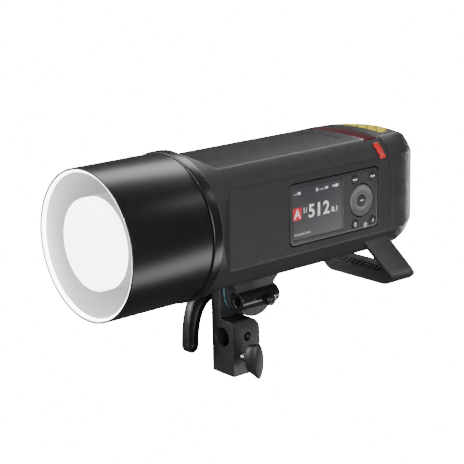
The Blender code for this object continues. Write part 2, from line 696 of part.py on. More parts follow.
def make_label():
    """Yellow label that lies on the battery's crowned, falling top face."""
    rings = []
    for y, w, h in battery_sections()[1:4]:
        across = [(0.0290 * (1 - k / 4), k) for k in range(9)]
        top = [(x * w, (BODY_TOP + CROWN * (1 - (x / TOP_HALF) ** 2)) * h) for x, _ in across]
        over = [(x, z + 0.0010) for x, z in top]
        rings.append((y, over + [(x, z + 0.0005) for x, z in reversed(top)]))
    loft("battery_label", rings, material("label_yellow", (0.85, 0.75, 0.05), 0.5), True, True)


# Grip ------------------------------------------------------------------------------------

def make_handle():
    """Raked loop under the battery: two flat side plates and a deep bar between them."""
    slope = (TOP_HALF - BODY_HALF) / (SIDE_DOWN - BODY_TOP)
    floor = LAMP_Z - BODY_TOP

    def under(x):
        return floor + (x - TOP_HALF) / slope - 0.0007

    plate, bar = 0.0050, 0.0130
    inner = HANDLE_X - plate
    bottom = HANDLE_BOTTOM
    right = [(HANDLE_X, under(HANDLE_X))]
    outer = rounded([(HANDLE_X, 0.09), (HANDLE_X, bottom), (-HANDLE_X, bottom),
                     (-HANDLE_X, 0.09)], [0.0, 0.0150, 0.0150, 0.0], 5)[1:-1]
    inside = rounded([(-inner, 0.09), (-inner, bottom + bar), (inner, bottom + bar),
                      (inner, 0.09)], [0.0, 0.0080, 0.0080, 0.0], 4)[1:-1]
    outline = right + outer + [(-HANDLE_X, under(HANDLE_X)), (-inner, under(inner))]
    outline += inside + [(inner, under(inner))]
    handle = slab("handle", outline, 0.1120, 0.1425, "Y", shell_black())
    rake, knee = 0.90, 0.0590
    for vertex in handle.data.vertices:
        vertex.co.y += rake * (0.1003 - max(vertex.co.z, knee))
    return handle


make_bracket()
make_tilt_joint()
make_stand_knob()
make_tilt_lever()
make_knuckle()
make_housing()
make_panel()
make_reflector()
make_lamp()
make_electronics()
make_battery()
make_handle()
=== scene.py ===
import bmesh
import bpy
import numpy as np
from mathutils import Matrix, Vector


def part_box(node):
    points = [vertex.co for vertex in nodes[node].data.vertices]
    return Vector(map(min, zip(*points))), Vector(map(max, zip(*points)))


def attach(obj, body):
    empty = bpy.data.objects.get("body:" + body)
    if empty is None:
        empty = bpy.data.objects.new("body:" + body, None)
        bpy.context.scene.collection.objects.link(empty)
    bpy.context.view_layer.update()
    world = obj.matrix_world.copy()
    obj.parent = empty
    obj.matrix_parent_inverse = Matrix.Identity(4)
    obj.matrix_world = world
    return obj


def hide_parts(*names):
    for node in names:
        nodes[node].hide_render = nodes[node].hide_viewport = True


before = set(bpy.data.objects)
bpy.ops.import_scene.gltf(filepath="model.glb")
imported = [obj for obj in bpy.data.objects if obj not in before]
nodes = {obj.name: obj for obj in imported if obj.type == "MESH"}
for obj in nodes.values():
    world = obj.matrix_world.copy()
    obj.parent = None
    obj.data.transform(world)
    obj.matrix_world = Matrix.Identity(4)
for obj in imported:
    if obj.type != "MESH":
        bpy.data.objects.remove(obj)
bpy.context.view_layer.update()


# Studio -----------------------------------------------------------------------------------
# A pale sweep far below the light, turned up all round like a dish, soft light from all sides
# and one long lens that looks slightly down on the display side.

def corners(node):
    """Lowest and highest corner of a CAD node, as arrays."""
    low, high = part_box(node)
    return np.array(low), np.array(high)


def group_tree(name, takes, gives):
    """An empty shader group with its named sockets, its input node and its output node."""
    tree = bpy.data.node_groups.new(name, "ShaderNodeTree")
    for label, kind in takes:
        tree.interface.new_socket(name=label, in_out="INPUT", socket_type=kind)
    for label, kind in gives:
        tree.interface.new_socket(name=label, in_out="OUTPUT", socket_type=kind)
    return tree, tree.nodes.new("NodeGroupInput"), tree.nodes.new("NodeGroupOutput")


def worked(tree, operation, *given):
    """Result of a Math node, whose inputs are other nodes' outputs or plain numbers."""
    node = tree.nodes.new("ShaderNodeMath")
    node.operation = operation
    for socket, value in zip(node.inputs, given):
        if isinstance(value, float):
            socket.default_value = value
        else:
            tree.links.new(value, socket)
    return node.outputs[0]


def grain_group():
    """Moulded or cast skin: a broad patchy noise blends two tones, and a fine noise gives
    the grain's height and lets the roughness wander round its middle value."""
    tree, taken, given = group_tree(
        "surface_grain",
        (("Place", "NodeSocketVector"), ("Tone", "NodeSocketColor"),
         ("Shade", "NodeSocketColor"), ("Grains", "NodeSocketFloat"),
         ("Patches", "NodeSocketFloat"), ("Matt", "NodeSocketFloat"),
         ("Spread", "NodeSocketFloat")),
        (("Colour", "NodeSocketColor"), ("Roughness", "NodeSocketFloat"),
         ("Height", "NodeSocketFloat")))
    join = tree.links.new
    fine = tree.nodes.new("ShaderNodeTexNoise")
    broad = tree.nodes.new("ShaderNodeTexNoise")
    fine.inputs["Detail"].default_value = 3.0
    broad.inputs["Detail"].default_value = 4.0
    for noise, scale in ((fine, "Grains"), (broad, "Patches")):
        join(taken.outputs["Place"], noise.inputs["Vector"])
        join(taken.outputs[scale], noise.inputs["Scale"])
    blend = tree.nodes.new("ShaderNodeMix")
    blend.data_type = "RGBA"
    join(broad.outputs["Fac"], blend.inputs["Factor"])
    join(taken.outputs["Tone"], blend.inputs["A"])
    join(taken.outputs["Shade"], blend.inputs["B"])
    join(blend.outputs["Result"], given.inputs["Colour"])
    swing = worked(tree, "SUBTRACT", fine.outputs["Fac"], 0.5)
    join(worked(tree, "MULTIPLY_ADD", swing, taken.outputs["Spread"], taken.outputs["Matt"]),
         given.inputs["Roughness"])
    join(fine.outputs["Fac"], given.inputs["Height"])
    return tree


SURFACE_GRAIN = grain_group()


def shader_of(name, metallic=0.0, **plain):
    """A new material and its Principled shader, with its plain values on its own sockets."""
    made = bpy.data.materials.new(name)
    made.use_nodes = True
    shader = made.node_tree.nodes["Principled BSDF"]
    shader.inputs["Metallic"].default_value = metallic
    for socket, value in plain.items():
        shader.inputs[socket.replace("_", " ").title().replace("Ior", "IOR")].default_value = value
    return made, shader


def grained(name, tone, shade, matt, spread, grains, lift, patches=40.0, metallic=0.0,
            stretch=(1.0, 1.0, 1.0), **plain):
    """Material with the shared grain: lift is the grain's depth in metres, and stretch draws
    the grain out into lines across the axis that has the largest number."""
    made, shader = shader_of(name, metallic, **plain)
    tree = made.node_tree
    place = tree.nodes.new("ShaderNodeTexCoord")
    turn = tree.nodes.new("ShaderNodeMapping")
    turn.inputs["Scale"].default_value = stretch
    tree.links.new(place.outputs["Object"], turn.inputs["Vector"])
    skin = tree.nodes.new("ShaderNodeGroup")
    skin.node_tree = SURFACE_GRAIN
    skin.inputs["Tone"].default_value = (*tone, 1.0)
    skin.inputs["Shade"].default_value = (*shade, 1.0)
    skin.inputs["Grains"].default_value = grains
    skin.inputs["Patches"].default_value = patches
    skin.inputs["Matt"].default_value = matt
    skin.inputs["Spread"].default_value = spread
    tree.links.new(turn.outputs["Vector"], skin.inputs["Place"])
    bump = tree.nodes.new("ShaderNodeBump")
    bump.inputs["Distance"].default_value = lift
    tree.links.new(skin.outputs["Height"], bump.inputs["Height"])
    tree.links.new(skin.outputs["Colour"], shader.inputs["Base Color"])
    tree.links.new(skin.outputs["Roughness"], shader.inputs["Roughness"])
    tree.links.new(bump.outputs["Normal"], shader.inputs["Normal"])
    return made


ring_low, ring_high = corners("mount_ring")
lamp_z = (ring_low[2] + ring_high[2]) / 2          # height of the lamp axis

azimuth, elevation, roll = np.radians((49.36, 14.72, -1.19))
distance, aside, below = 1.24993, -0.00456, -0.01718
aim = np.array((0.0, 0.0076, lamp_z))
back = np.array((np.sin(azimuth) * np.cos(elevation),
                 -np.cos(azimuth) * np.cos(elevation), np.sin(elevation)))
level = np.array((np.cos(azimuth), np.sin(azimuth), 0.0))
upright = np.cross(back, level)
right = level * np.cos(roll) + upright * np.sin(roll)
up = upright * np.cos(roll) - level * np.sin(roll)
eye = aim + aside * right + below * up + distance * back

camera = bpy.data.objects.new("camera", bpy.data.cameras.new("camera"))
bpy.context.scene.collection.objects.link(camera)
camera.data.lens = 116.22
camera.data.sensor_width = 36.0
placing = np.eye(4)
placing[:3] = np.stack((right, up, back, eye), 1)
camera.matrix_world = Matrix(placing)
bpy.context.scene.camera = camera


def soft_light(name, way, size, power, reach_out=1.5):
    """A softbox, size (along the lamp axis, across it), that faces the light from far off in
    the direction `way`."""
    lamp = bpy.data.lights.new(name, "AREA")
    lamp.shape = "RECTANGLE"
    lamp.size, lamp.size_y = size
    lamp.energy = power
    box = bpy.data.objects.new(name, lamp)
    bpy.context.scene.collection.objects.link(box)
    away = np.array(way, float) / np.linalg.norm(way)
    across = np.cross(away, (0.0, 1.0, 0.0))
    across /= np.linalg.norm(across)
    stand = np.eye(4)
    stand[:3] = np.stack((np.cross(across, away), across, away, aim + away * reach_out), 1)
    box.matrix_world = Matrix(stand)


soft_light("back_left_softbox", (-0.36, 0.59, 0.72), (1.4, 0.60), 17.0)
soft_light("low_right_softbox", (0.58, 0.60, -0.55), (1.3, 0.50), 9.0)
soft_light("front_softbox", (-0.45, -0.85, 0.30), (0.9, 0.9), 40.0)
soft_light("right_softbox", (0.90, -0.45, 0.12), (0.9, 0.9), 27.0)
soft_light("rear_right_softbox", (0.495, 0.66, 0.563), (0.34, 0.12), 0.28, 0.59)
soft_light("rear_left_softbox", (-0.36, 0.91, -0.18), (0.5, 0.5), 16.0)

studio = bpy.data.worlds.new("studio")
studio.use_nodes = True
studio.node_tree.nodes["Background"].inputs["Color"].default_value = (1.0, 1.0, 1.0, 1.0)
studio.node_tree.nodes["Background"].inputs["Strength"].default_value = 0.10
bpy.context.scene.world = studio


def settle(mesh, crisp=35.0):
    """Merges doubled points, turns the faces outwards and shades smooth, except over edges
    that turn by more than `crisp` degrees."""
    shape = bmesh.new()
    shape.from_mesh(mesh)
    bmesh.ops.remove_doubles(shape, verts=shape.verts, dist=1.5e-6)
    bmesh.ops.dissolve_degenerate(shape, edges=shape.edges, dist=1e-7)
    bmesh.ops.recalc_face_normals(shape, faces=shape.faces)
    shape.to_mesh(mesh)
    shape.free()
    mesh.shade_smooth()
    mesh.set_sharp_from_angle(angle=np.radians(crisp))


def made_from(name, points, faces, crisp=35.0):
    """An object whose mesh has these points and faces, both in the row frame."""
    mesh = bpy.data.meshes.new(name)
    mesh.from_pydata(np.reshape(points, (-1, 3)).tolist(), [], faces)
    settle(mesh, crisp)
    piece = bpy.data.objects.new(name, mesh)
    bpy.context.scene.collection.objects.link(piece)
    return piece


def skin(name, points, ring=True, loop=False, caps=False, crisp=35.0):
    """A surface over a grid of points: each cell is one quad. ring joins the last column to
    the first, loop joins the last row to the first, and caps closes the first and last rows."""
    rows, columns = points.shape[:2]
    i, j = np.meshgrid(np.arange(rows if loop else rows - 1),
                       np.arange(columns if ring else columns - 1), indexing="ij")
    down, over = (i + 1) % rows, (j + 1) % columns
    quads = np.stack((i * columns + j, i * columns + over, down * columns + over,
                      down * columns + j), -1).reshape(-1, 4).tolist()
    if caps:
        first = np.arange(columns)
        quads += [first[::-1].tolist(), (first + (rows - 1) * columns).tolist()]
    return made_from(name, points, quads, crisp)


floor_z, floor_half, floor_flat, floor_rise = -0.35, 9.0, 5.0, 5.0
across, along = np.meshgrid(*[np.linspace(-floor_half, floor_half, 37)] * 2, indexing="ij")
outward = np.clip((np.hypot(across, along) - floor_flat) / (floor_half - floor_flat), 0.0, 1.0)
floor = skin("floor", np.stack((across, along, floor_z + floor_rise * outward ** 2), -1),
             ring=False)
floor.data.flip_normals()
floor.data.materials.append(grained("sweep_paper", (0.93, 0.93, 0.93), (0.90, 0.90, 0.90),
                                    0.8, 0.05, 60.0, 0.00005, 0.6,
                                    Emission_Color=(1.0, 1.0, 1.0, 1.0), Emission_Strength=24.0))
floor.visible_diffuse = False
floor.visible_glossy = False


# Stand bracket ----------------------------------------------------------------------------
# A cast and anodised block with two 16 mm sockets and an upright arm on its -X side. It is
# one casting, machined in its bores, with small chamfers at the mouths.

def lay(flat, depth, axis):
    """Points of outlines (..., 2) at depths along an axis: (y, z) for X, (x, z) for Y and
    (x, y) for Z."""
    a, b, d = np.broadcast_arrays(flat[..., 0], flat[..., 1], depth)
    order = {"X": (d, a, b), "Y": (a, d, b), "Z": (a, b, d)}[axis]
    return np.stack(order, -1)


def rounded(outline, radii, steps=6):
    """An outline whose corners become arcs: each arc is centred on the corner's bisector and
    touches both sides, radius / tan(half angle) from the corner."""
    flat = np.array(outline, float)
    radii = np.broadcast_to(np.array(radii, float), len(flat))
    arcs = []
    for here, before, ahead, radius in zip(flat, np.roll(flat, 1, 0), np.roll(flat, -1, 0), radii):
        if radius <= 0:
            arcs.append(here[None])
            continue
        one = (before - here) / np.linalg.norm(before - here)
        two = (ahead - here) / np.linalg.norm(ahead - here)
        half = np.arccos(np.clip(one @ two, -1, 1)) / 2
        middle = here + (one + two) / np.linalg.norm(one + two) * radius / np.sin(half)
        start = here + one * radius / np.tan(half) - middle
        end = here + two * radius / np.tan(half) - middle
        sweep = np.arctan2(start[0] * end[1] - start[1] * end[0], start @ end)
        a = np.linspace(0, sweep, steps + 1)[:, None]
        arcs.append(middle + start * np.cos(a) + np.array((-start[1], start[0])) * np.sin(a))
    return np.concatenate(arcs)


def rectangle(low, high):
    """The four corners of an upright rectangle."""
    return [(low[0], low[1]), (high[0], low[1]), (high[0], high[1]), (low[0], high[1])]


def layered(name, outline, levels, insets, axis, crisp=35.0):
    """A closed solid whose section at each level is the outline moved inwards by that
    level's inset along the miter of its two neighbouring sides."""
    flat = np.array(outline, float)
    after = np.roll(flat, -1, 0)
    if np.sum(flat[:, 0] * after[:, 1] - after[:, 0] * flat[:, 1]) < 0:
        flat = flat[::-1]
    side = np.roll(flat, -1, 0) - flat
    side /= np.linalg.norm(side, axis=1, keepdims=True)
    inward = np.stack((-side[:, 1], side[:, 0]), 1)
    last = np.roll(inward, 1, 0)
    miter = (inward + last) / (1 + np.sum(inward * last, 1, keepdims=True))
    rings = flat + np.array(insets)[:, None, None] * miter
    return skin(name, lay(rings, np.array(levels)[:, None], axis), caps=True, crisp=crisp)


def prism(name, outline, low, high, axis, edge=0.0004, steps=3, crisp=35.0):
    """An outline carried from low to high along an axis. Both rims are quarter rounds: at
    angle a the outline is inset by edge (1 - sin a), edge (1 - cos a) from the face."""
    a = np.linspace(0, np.pi / 2, steps + 1)
    inset, depth = edge * (1 - np.sin(a)), edge * (1 - np.cos(a))
    return layered(name, outline, np.concatenate((low + depth, high - depth[::-1])),
                   np.concatenate((inset, inset[::-1])), axis, crisp)


def turned(name, profile, centre, axis, steps=96, wobble=None, crisp=35.0):
    """A turned solid: (radius, distance) points carried round an axis. A profile that starts
    and ends on the axis closes at its poles, any other closes into a ring. wobble, if given,
    scales the radius by a function of the angle and the distance."""
    line = np.array(profile, float)
    a = np.linspace(0, 2 * np.pi, steps, endpoint=False)[None]
    radius, depth = line[:, :1], line[:, 1:]
    if wobble:
        radius = radius * wobble(a, depth)
    flat = np.stack(np.broadcast_arrays(radius * np.cos(a), radius * np.sin(a)), -1)
    points = lay(flat, depth, axis) + np.array(centre, float)
    poles = line[0, 0] == 0 and line[-1, 0] == 0
    return skin(name, points, loop=not poles, crisp=crisp)


def eased(profile, radius, steps=5):
    """A turned profile whose corners are rounded, except for its ends on the axis."""
    line = np.array(profile, float)
    radii = np.where(line[:, 0] > 0, radius, 0.0)
    return rounded(line, radii, steps)


def carve(piece, tools, mode="DIFFERENCE", crisp=35.0):
    """Cuts the tools out of a piece, or joins them to it, and keeps the mesh that results."""
    kit = bpy.data.collections.new("tools")
    bpy.context.scene.collection.children.link(kit)
    for tool in tools:
        bpy.context.scene.collection.objects.unlink(tool)
        kit.objects.link(tool)
    step = piece.modifiers.new("carve", "BOOLEAN")
    step.operation = mode
    step.solver = "MANIFOLD"
    step.operand_type = "COLLECTION"
    step.collection = kit
    graph = bpy.context.evaluated_depsgraph_get()
    mesh = bpy.data.meshes.new_from_object(piece.evaluated_get(graph))
    piece.modifiers.clear()
    piece.data = mesh
    for tool in tools:
        bpy.data.objects.remove(tool)
    bpy.data.collections.remove(kit)
    settle(mesh, crisp)
    return piece


def fit(piece, look, body, slot, *replaced):
    """Gives a piece its material, the body that it rides on and the CAD nodes it stands for."""
    piece.data.materials.clear()
    piece.data.materials.append(look)
    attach(piece, body)
    if replaced:
        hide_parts(*replaced)
    return piece


block_low, block_high = corners("bracket")
knuckle_low, knuckle_high = corners("tilt_knuckle")
bolt_low, bolt_high = corners("tilt_bolt")
pivot = (bolt_low + bolt_high) / 2                  # a point on the tilt axis
block_top, block_rear, arm_in, arm_crown = 0.0489, 0.0187, -0.0019, 0.0172
socket_r, socket_z, knob_z, mouth = 0.0082, 0.0331, 0.0165, 0.0006

cast_metal = grained("cast_metal", (0.023, 0.023, 0.025), (0.018, 0.018, 0.020), 0.40, 0.22,
                     2600.0, 0.00003, 90.0, 0.35)


def drill(name, radius, low, high, centre, axis, flare_low=False, flare_high=False, steps=48):
    """A cutter for a round hole, with a 45 degree chamfer at the mouths asked for."""
    wide = radius + mouth
    line = [(0, low), (wide if flare_low else radius, low)]
    line += [(radius, low + mouth)] if flare_low else []
    line += [(radius, high - mouth)] if flare_high else []
    line += [(wide if flare_high else radius, high), (0, high)]
    return turned(name, line, centre, axis, steps)


def arm_outline():
    """Side view of the upright arm: straight flanks under an arc about the tilt axis."""
    a = np.radians(np.linspace(-20, 130, 40))
    arc = np.stack((pivot[1] + arm_crown * np.cos(a), pivot[2] + arm_crown * np.sin(a)), 1)
    foot = block_top - 0.010
    return np.concatenate(([(block_low[1], foot), (block_rear - 0.0002, foot),
                            (block_rear - 0.004, block_top - 0.002)], arc,
                           [(block_low[1], pivot[2] + 0.003)]))


block_outline = rounded(rectangle((block_low[1], 0.0), (block_rear, block_top)),
                        (0.002, 0.002, 0.012, 0.0006))
bracket = prism("stand_bracket", block_outline, block_low[0], block_high[0], "X", 0.0009)
arm = prism("arm", arm_outline(), block_low[0] + 0.00002, arm_in, "X", 0.0008)
carve(bracket, [arm], "UNION")
foot_round = rounded(rectangle((block_low[0], 0.0), (block_high[0], 0.1)), (0.0030, 0.0, 0.0, 0.0))
carve(bracket, [prism("foot_round", foot_round, -0.05, 0.05, "Y", 0.0)], "INTERSECT")
carve(bracket, [
    drill("socket", socket_r, 0.0, 0.0300, (0, 0, 0), "Z", flare_low=True),
    drill("front_socket", socket_r, block_low[1], 0.0125, (0, 0, socket_z), "Y", flare_low=True),
    drill("knob_hole", 0.0032, 0.004, block_high[0], (0, 0, knob_z), "X", flare_high=True),
    drill("spare_hole", 0.0036, 0.004, block_high[0], (0, 0.0045, socket_z), "X", flare_high=True),
    drill("pivot_hole", 0.0043, -0.020, 0.005, pivot * (0, 1, 1), "X")])
fit(bracket, cast_metal, "bracket", "cast_grey", "bracket")


# Stand knob -------------------------------------------------------------------------------
# A moulded paddle on a plated M6 screw, which clamps the spigot in the upright socket. The
# paddle's section is a lens, and one flank is scooped a little for the thumb.

def threads(name, core, crest, pitch, low, high, centre, steps=32, rounds=8):
    """A screw along X: the radius swings between core and crest as the cosine of the angle
    less a full turn for each pitch, and fades to the core at both ends."""
    depth = np.linspace(low, high, int(round((high - low) / pitch)) * rounds)[:, None]
    a = np.linspace(0, 2 * np.pi, steps, endpoint=False)[None]
    wave = 0.5 + 0.5 * np.cos(2 * np.pi * depth / pitch - a)
    fade = np.clip(np.minimum(depth - low, high - depth) / pitch * 2, 0, 1)
    radius = core + (crest - core) * wave * fade
    flat = np.stack((radius * np.cos(a), radius * np.sin(a)), -1)
    points = lay(flat, depth, "X") + np.array(centre, float)
    return skin(name, points, caps=True, crisp=50.0)


plated_steel = grained("plated_steel", (0.62, 0.62, 0.63), (0.48, 0.48, 0.50), 0.26, 0.20,
                       900.0, 0.00001, 120.0, 1.0, (1.0, 0.2, 0.2))
knob_moulding = grained("knob_moulding", (0.010, 0.010, 0.011), (0.007, 0.007, 0.008), 0.42,
                        0.25, 3200.0, 0.00004)

screw_low, screw_high = corners("stand_screw")
fit(threads("stand_screw_thread", 0.0024, 0.0029, 0.0010, screw_low[0], screw_high[0],
            (0, 0, knob_z)), plated_steel, "stand_knob", "steel", "stand_screw")

PADDLE_TALL, PADDLE_DEEP = 0.0160, 0.0054           # half height and half thickness


def paddle_grid():
    """Points of the paddle. Along X its height grows and both ends are quarter rounds; each
    section is an ellipse with the sine to the power 1.05, scooped by a bell curve at -Y."""
    low, high = corners("stand_knob")
    run = np.concatenate(([0.0, 0.015, 0.05], np.linspace(0.09, 0.91, 20), [0.95, 0.985, 1.0]))
    rim = np.minimum(np.minimum(run, 1 - run) / 0.09, 1.0)
    rim = 1 - 0.16 * (1 - np.sqrt(1 - (1 - rim) ** 2))
    tall = PADDLE_TALL * np.interp(run, (0, 0.45, 1), (0.76, 0.86, 1.0)) * rim
    a = np.linspace(0, 2 * np.pi, 120, endpoint=False)[None]
    scoop = 1 - 0.10 * np.exp(-((run[:, None] - 0.45) / 0.26) ** 2) * (np.sin(a) < 0)
    lens = np.sign(np.sin(a)) * np.abs(np.sin(a)) ** 1.05
    flat = np.stack((PADDLE_DEEP * rim[:, None] * lens * scoop,
                     knob_z + tall[:, None] * np.cos(a)), -1)
    return lay(flat, (low[0] + (high[0] - low[0]) * run)[:, None], "X")


fit(skin("paddle_knob", paddle_grid(), caps=True, crisp=50.0), knob_moulding, "stand_knob",
    "knob_black", "stand_knob")
fit(turned("knob_collar", eased([(0, 0.0192), (0.0052, 0.0192), (0.0052, 0.0206), (0, 0.0206)],
                                0.0003), (0, 0, knob_z), "X", 48),
    knob_moulding, "stand_knob", "knob_black")


# Tilt lever -------------------------------------------------------------------------------
# A cast lever that hooks down in front of the block. Its flank is a channel, its hub turns
# on the tilt bolt and a plated screw holds it.

def smooth_line(points, count):
    """A Catmull-Rom curve through the points: between two of them each coordinate is the
    cubic whose end slopes are half the step from one neighbour to the other."""
    line = np.array(points, float)
    ends = np.concatenate((2 * line[:1] - line[1:2], line, 2 * line[-1:] - line[-2:-1]))
    t = np.linspace(0, len(line) - 1, count)
    i = np.minimum(t.astype(int), len(line) - 2)
    f = (t - i)[:, None]
    p, q, r, s = (ends[i + k] for k in range(4))
    return q + 0.5 * f * (r - p + f * (2 * p - 5 * q + 4 * r - s + f * (3 * (q - r) + s - p)))


def band(line, caps=14):
    """Outline of a bent band: the middle line moved sideways by its half depth both ways,
    with a half circle at each end."""
    middle, half = line[:, :2], line[:, 2:]
    along = np.gradient(middle, axis=0)
    along /= np.linalg.norm(along, axis=1, keepdims=True)
    side = np.stack((-along[:, 1], along[:, 0]), 1)
    a = np.linspace(0, np.pi, caps + 1)[1:-1, None]
    far = middle[-1] + half[-1] * (side[-1] * np.cos(a) + along[-1] * np.sin(a))
    near = middle[0] + half[0] * (-side[0] * np.cos(a) - along[0] * np.sin(a))
    return np.concatenate((middle + side * half, far, (middle - side * half)[::-1], near))


lever_low, lever_high = corners("tilt_lever")
lever_line = smooth_line(
    ((0.0131, 0.0716, 0.0105), (-0.0040, 0.0715, 0.0090), (-0.0145, 0.0672, 0.0080),
     (-0.0222, 0.0590, 0.0074), (-0.0264, 0.0490, 0.0068), (-0.0288, 0.0370, 0.0064),
     (-0.0297, 0.0250, 0.0062)), 60)                 # y, z and half depth of the real lever
lever_face, flange, floor_x = -0.0172, 0.0017, -0.0225
channel_line = lever_line[19:] - (0.0, 0.0, flange)

lever_metal = grained("lever_metal", (0.011, 0.011, 0.012), (0.008, 0.008, 0.009), 0.34, 0.2,
                      2600.0, 0.00003, 90.0, 0.3)
lever = prism("clamp_lever", band(lever_line), lever_low[0], lever_face, "X", 0.0012, 4)
carve(lever, [prism("channel", band(channel_line), floor_x, lever_face + 0.002, "X", 0.0008)])
hub = turned("hub", eased([(0, lever_face - 0.001), (0.0095, lever_face - 0.001),
                           (0.0095, lever_high[0]), (0, lever_high[0])], 0.0004),
             pivot * (0, 1, 1), "X", 64)
carve(lever, [hub], "UNION")
fit(lever, lever_metal, "tilt_lever", "cast_grey", "tilt_lever")

KEY_HALF = 0.0023                                   # corner of the hexagon socket
cap_low, cap_high = corners("lever_screw")
cap_screw = turned("lever_cap_screw", eased(
    [(0, cap_low[0]), (0.0044, cap_low[0]), (0.0048, cap_low[0] + 0.0006),
     (0.0048, cap_high[0]), (0, cap_high[0])], 0.0002), pivot * (0, 1, 1), "X", 48)
hexagon = np.radians(np.arange(0, 360, 60))
hex_key = np.stack((pivot[1] + KEY_HALF * np.cos(hexagon), pivot[2] + KEY_HALF * np.sin(hexagon)), 1)
carve(cap_screw, [prism("key", hex_key, cap_low[0] - 0.001, cap_low[0] + 0.0014, "X", 0.0)])
fit(cap_screw, plated_steel, "tilt_lever", "steel", "lever_screw")


# Knuckle, umbrella tube and thumb screw ---------------------------------------------------
# The knuckle is a moulded flange under the body that turns against the arm on a teal
# friction ring. A gloss black tube for an umbrella runs through it, with a knurled screw.

def knuckle_outline():
    """Side view: a disc about the tilt axis that flares up into the body's floor."""
    top, radius = knuckle_high[2], 0.0218
    a = np.radians(np.linspace(168, 372, 72))
    arc = np.stack((pivot[1] + radius * np.cos(a), pivot[2] + radius * np.sin(a)), 1)
    return np.concatenate(([(pivot[1] + 0.041, top), (pivot[1] - 0.033, top),
                            (pivot[1] - 0.027, top - 0.004)], arc,
                           [(pivot[1] + 0.0262, top - 0.0085), (pivot[1] + 0.0325, top - 0.0035)]))


tube_low, tube_high = corners("umbrella_tube")
tube_axis = (tube_low + tube_high) / 2 * (1, 0, 1)
tube_r, bore = (tube_high[2] - tube_low[2]) / 2, 0.0042

body_moulding = grained("body_moulding", (0.039, 0.039, 0.041), (0.032, 0.032, 0.034), 0.36,
                        0.26, 700.0, 0.00024, 30.0, Specular_Ior_Level=0.15)
gloss_black = grained("gloss_black", (0.014, 0.014, 0.015), (0.010, 0.010, 0.011), 0.20, 0.06,
                      300.0, 0.000001, 60.0)
teal_washer = grained("teal_washer", (0.20, 0.50, 0.53), (0.15, 0.42, 0.45), 0.45, 0.15,
                      1800.0, 0.00003)

knuckle = prism("knuckle_flange", knuckle_outline(), knuckle_low[0], knuckle_high[0], "X", 0.0008)
carve(knuckle, [
    turned("tube_way", [(0, -0.05), (tube_r + 0.0003, -0.05), (tube_r + 0.0003, 0.08), (0, 0.08)],
           tube_axis, "Y", 64),
    turned("bolt_way", [(0, -0.01), (0.0043, -0.01), (0.0043, 0.0034), (0, 0.0034)],
           pivot * (0, 1, 1), "X", 32)])
fit(knuckle, body_moulding, "head", "shell", "tilt_knuckle")

tube_line = [(bore, tube_low[1]), (tube_r, tube_low[1]), (tube_r, tube_high[1]),
             (bore, tube_high[1])]
tube = turned("umbrella_holder", rounded(tube_line, 0.0008, 6), tube_axis, "Y", 96)
thumb_low, thumb_high = corners("umbrella_screw")
thumb_y = (thumb_low[1] + thumb_high[1]) / 2
carve(tube, [turned("screw_way", [(0, 0.003), (0.0024, 0.003), (0.0024, 0.02), (0, 0.02)],
                    tube_axis + (0, thumb_y, 0), "X", 24)])
fit(tube, gloss_black, "head", "ring_gloss", "umbrella_tube")


def knurl(a, depth):
    """Radius factor of the grip: flutes round the head, which fade out at its two rims."""
    band_middle = thumb_high[0] - tube_axis[0] - 0.0034
    grip = np.clip(1.6 - np.abs(depth - band_middle) / 0.0020, 0, 1)
    return 1 - 0.045 * grip * (0.5 + 0.5 * np.cos(22 * a))


screw_end = thumb_high[0] - tube_axis[0]
head_line = np.array([(0, 0.0046), (0.0021, 0.0046), (0.0021, 0.0118), (0.0040, 0.0118),
                      (0.0047, 0.0126), (0.0047, 0.0135), (0.0047, 0.0145), (0.0047, 0.0157),
                      (0.0047, 0.0168), (0.0047, 0.0178), (0.0043, 0.0183), (0.0038, screw_end),
                      (0.0016, screw_end - 0.0003), (0, screw_end - 0.0003)])
fit(turned("thumb_screw", head_line, tube_axis + (0, thumb_y, 0), "X", 176, knurl, 50.0),
    gloss_black, "umbrella_screw", "ring_gloss", "umbrella_screw")


# Housing ----------------------------------------------------------------------------------
# The body is a round moulding cut by flats: two sides, a bottom, two low chamfers and a
# crowned top. Its nose flares from the flats to a full circle behind the mount ring.

NOSE_R, HALF_WIDE, HALF_TALL, TOP_HALF, CROWN = 0.0612, 0.0500, 0.0494, 0.0381, 0.0028
SIDE_DOWN, WALL, GAP = 0.0311, 0.0025, 0.0003
nose_y, facet_y, seam_y = ring_high[1] + GAP, -0.0437, 0.13865
chamfer = np.array((HALF_TALL - SIDE_DOWN, HALF_WIDE - TOP_HALF))
chamfer /= np.linalg.norm(chamfer)
chamfer_reach = chamfer @ (HALF_WIDE, SIDE_DOWN) + 0.0002
FLATS = (((1, 0), HALF_WIDE), ((-1, 0), HALF_WIDE), ((0, -1), HALF_TALL),
         ((chamfer[0], -chamfer[1]), chamfer_reach), ((-chamfer[0], -chamfer[1]), chamfer_reach))


def reach(a, flare=0.0, inset=0.0, softness=240.0):
    """Distance of the skin from the lamp axis at angle a from +X.

    It is the smallest of the round nose's radius, each flat's distance over the cosine to
    its normal, and the crowned top's parabola, as a power mean, which rounds the edges.
    flare moves every flat out towards the nose's radius."""
    across, rise = np.cos(a), np.sin(a)
    total = np.ones_like(across * flare)
    for (nx, nz), apart in FLATS:
        facing = np.maximum(nx * across + nz * rise, 1e-3)
        total = total + (facing * (NOSE_R - inset)
                         / (apart - inset + flare * (NOSE_R - apart))) ** softness
    peak = HALF_TALL + CROWN - inset
    peak = peak + flare * (NOSE_R - inset - peak)
    bend = CROWN * (across / TOP_HALF) ** 2
    above = np.maximum(rise, 0.05)
    crown = 2 * peak / (above + np.sqrt(above ** 2 + 4 * bend * peak))
    total = total + np.where(rise > 0.05, (NOSE_R - inset) / crown, 0.0) ** softness
    return (NOSE_R - inset) * total ** (-1 / softness)


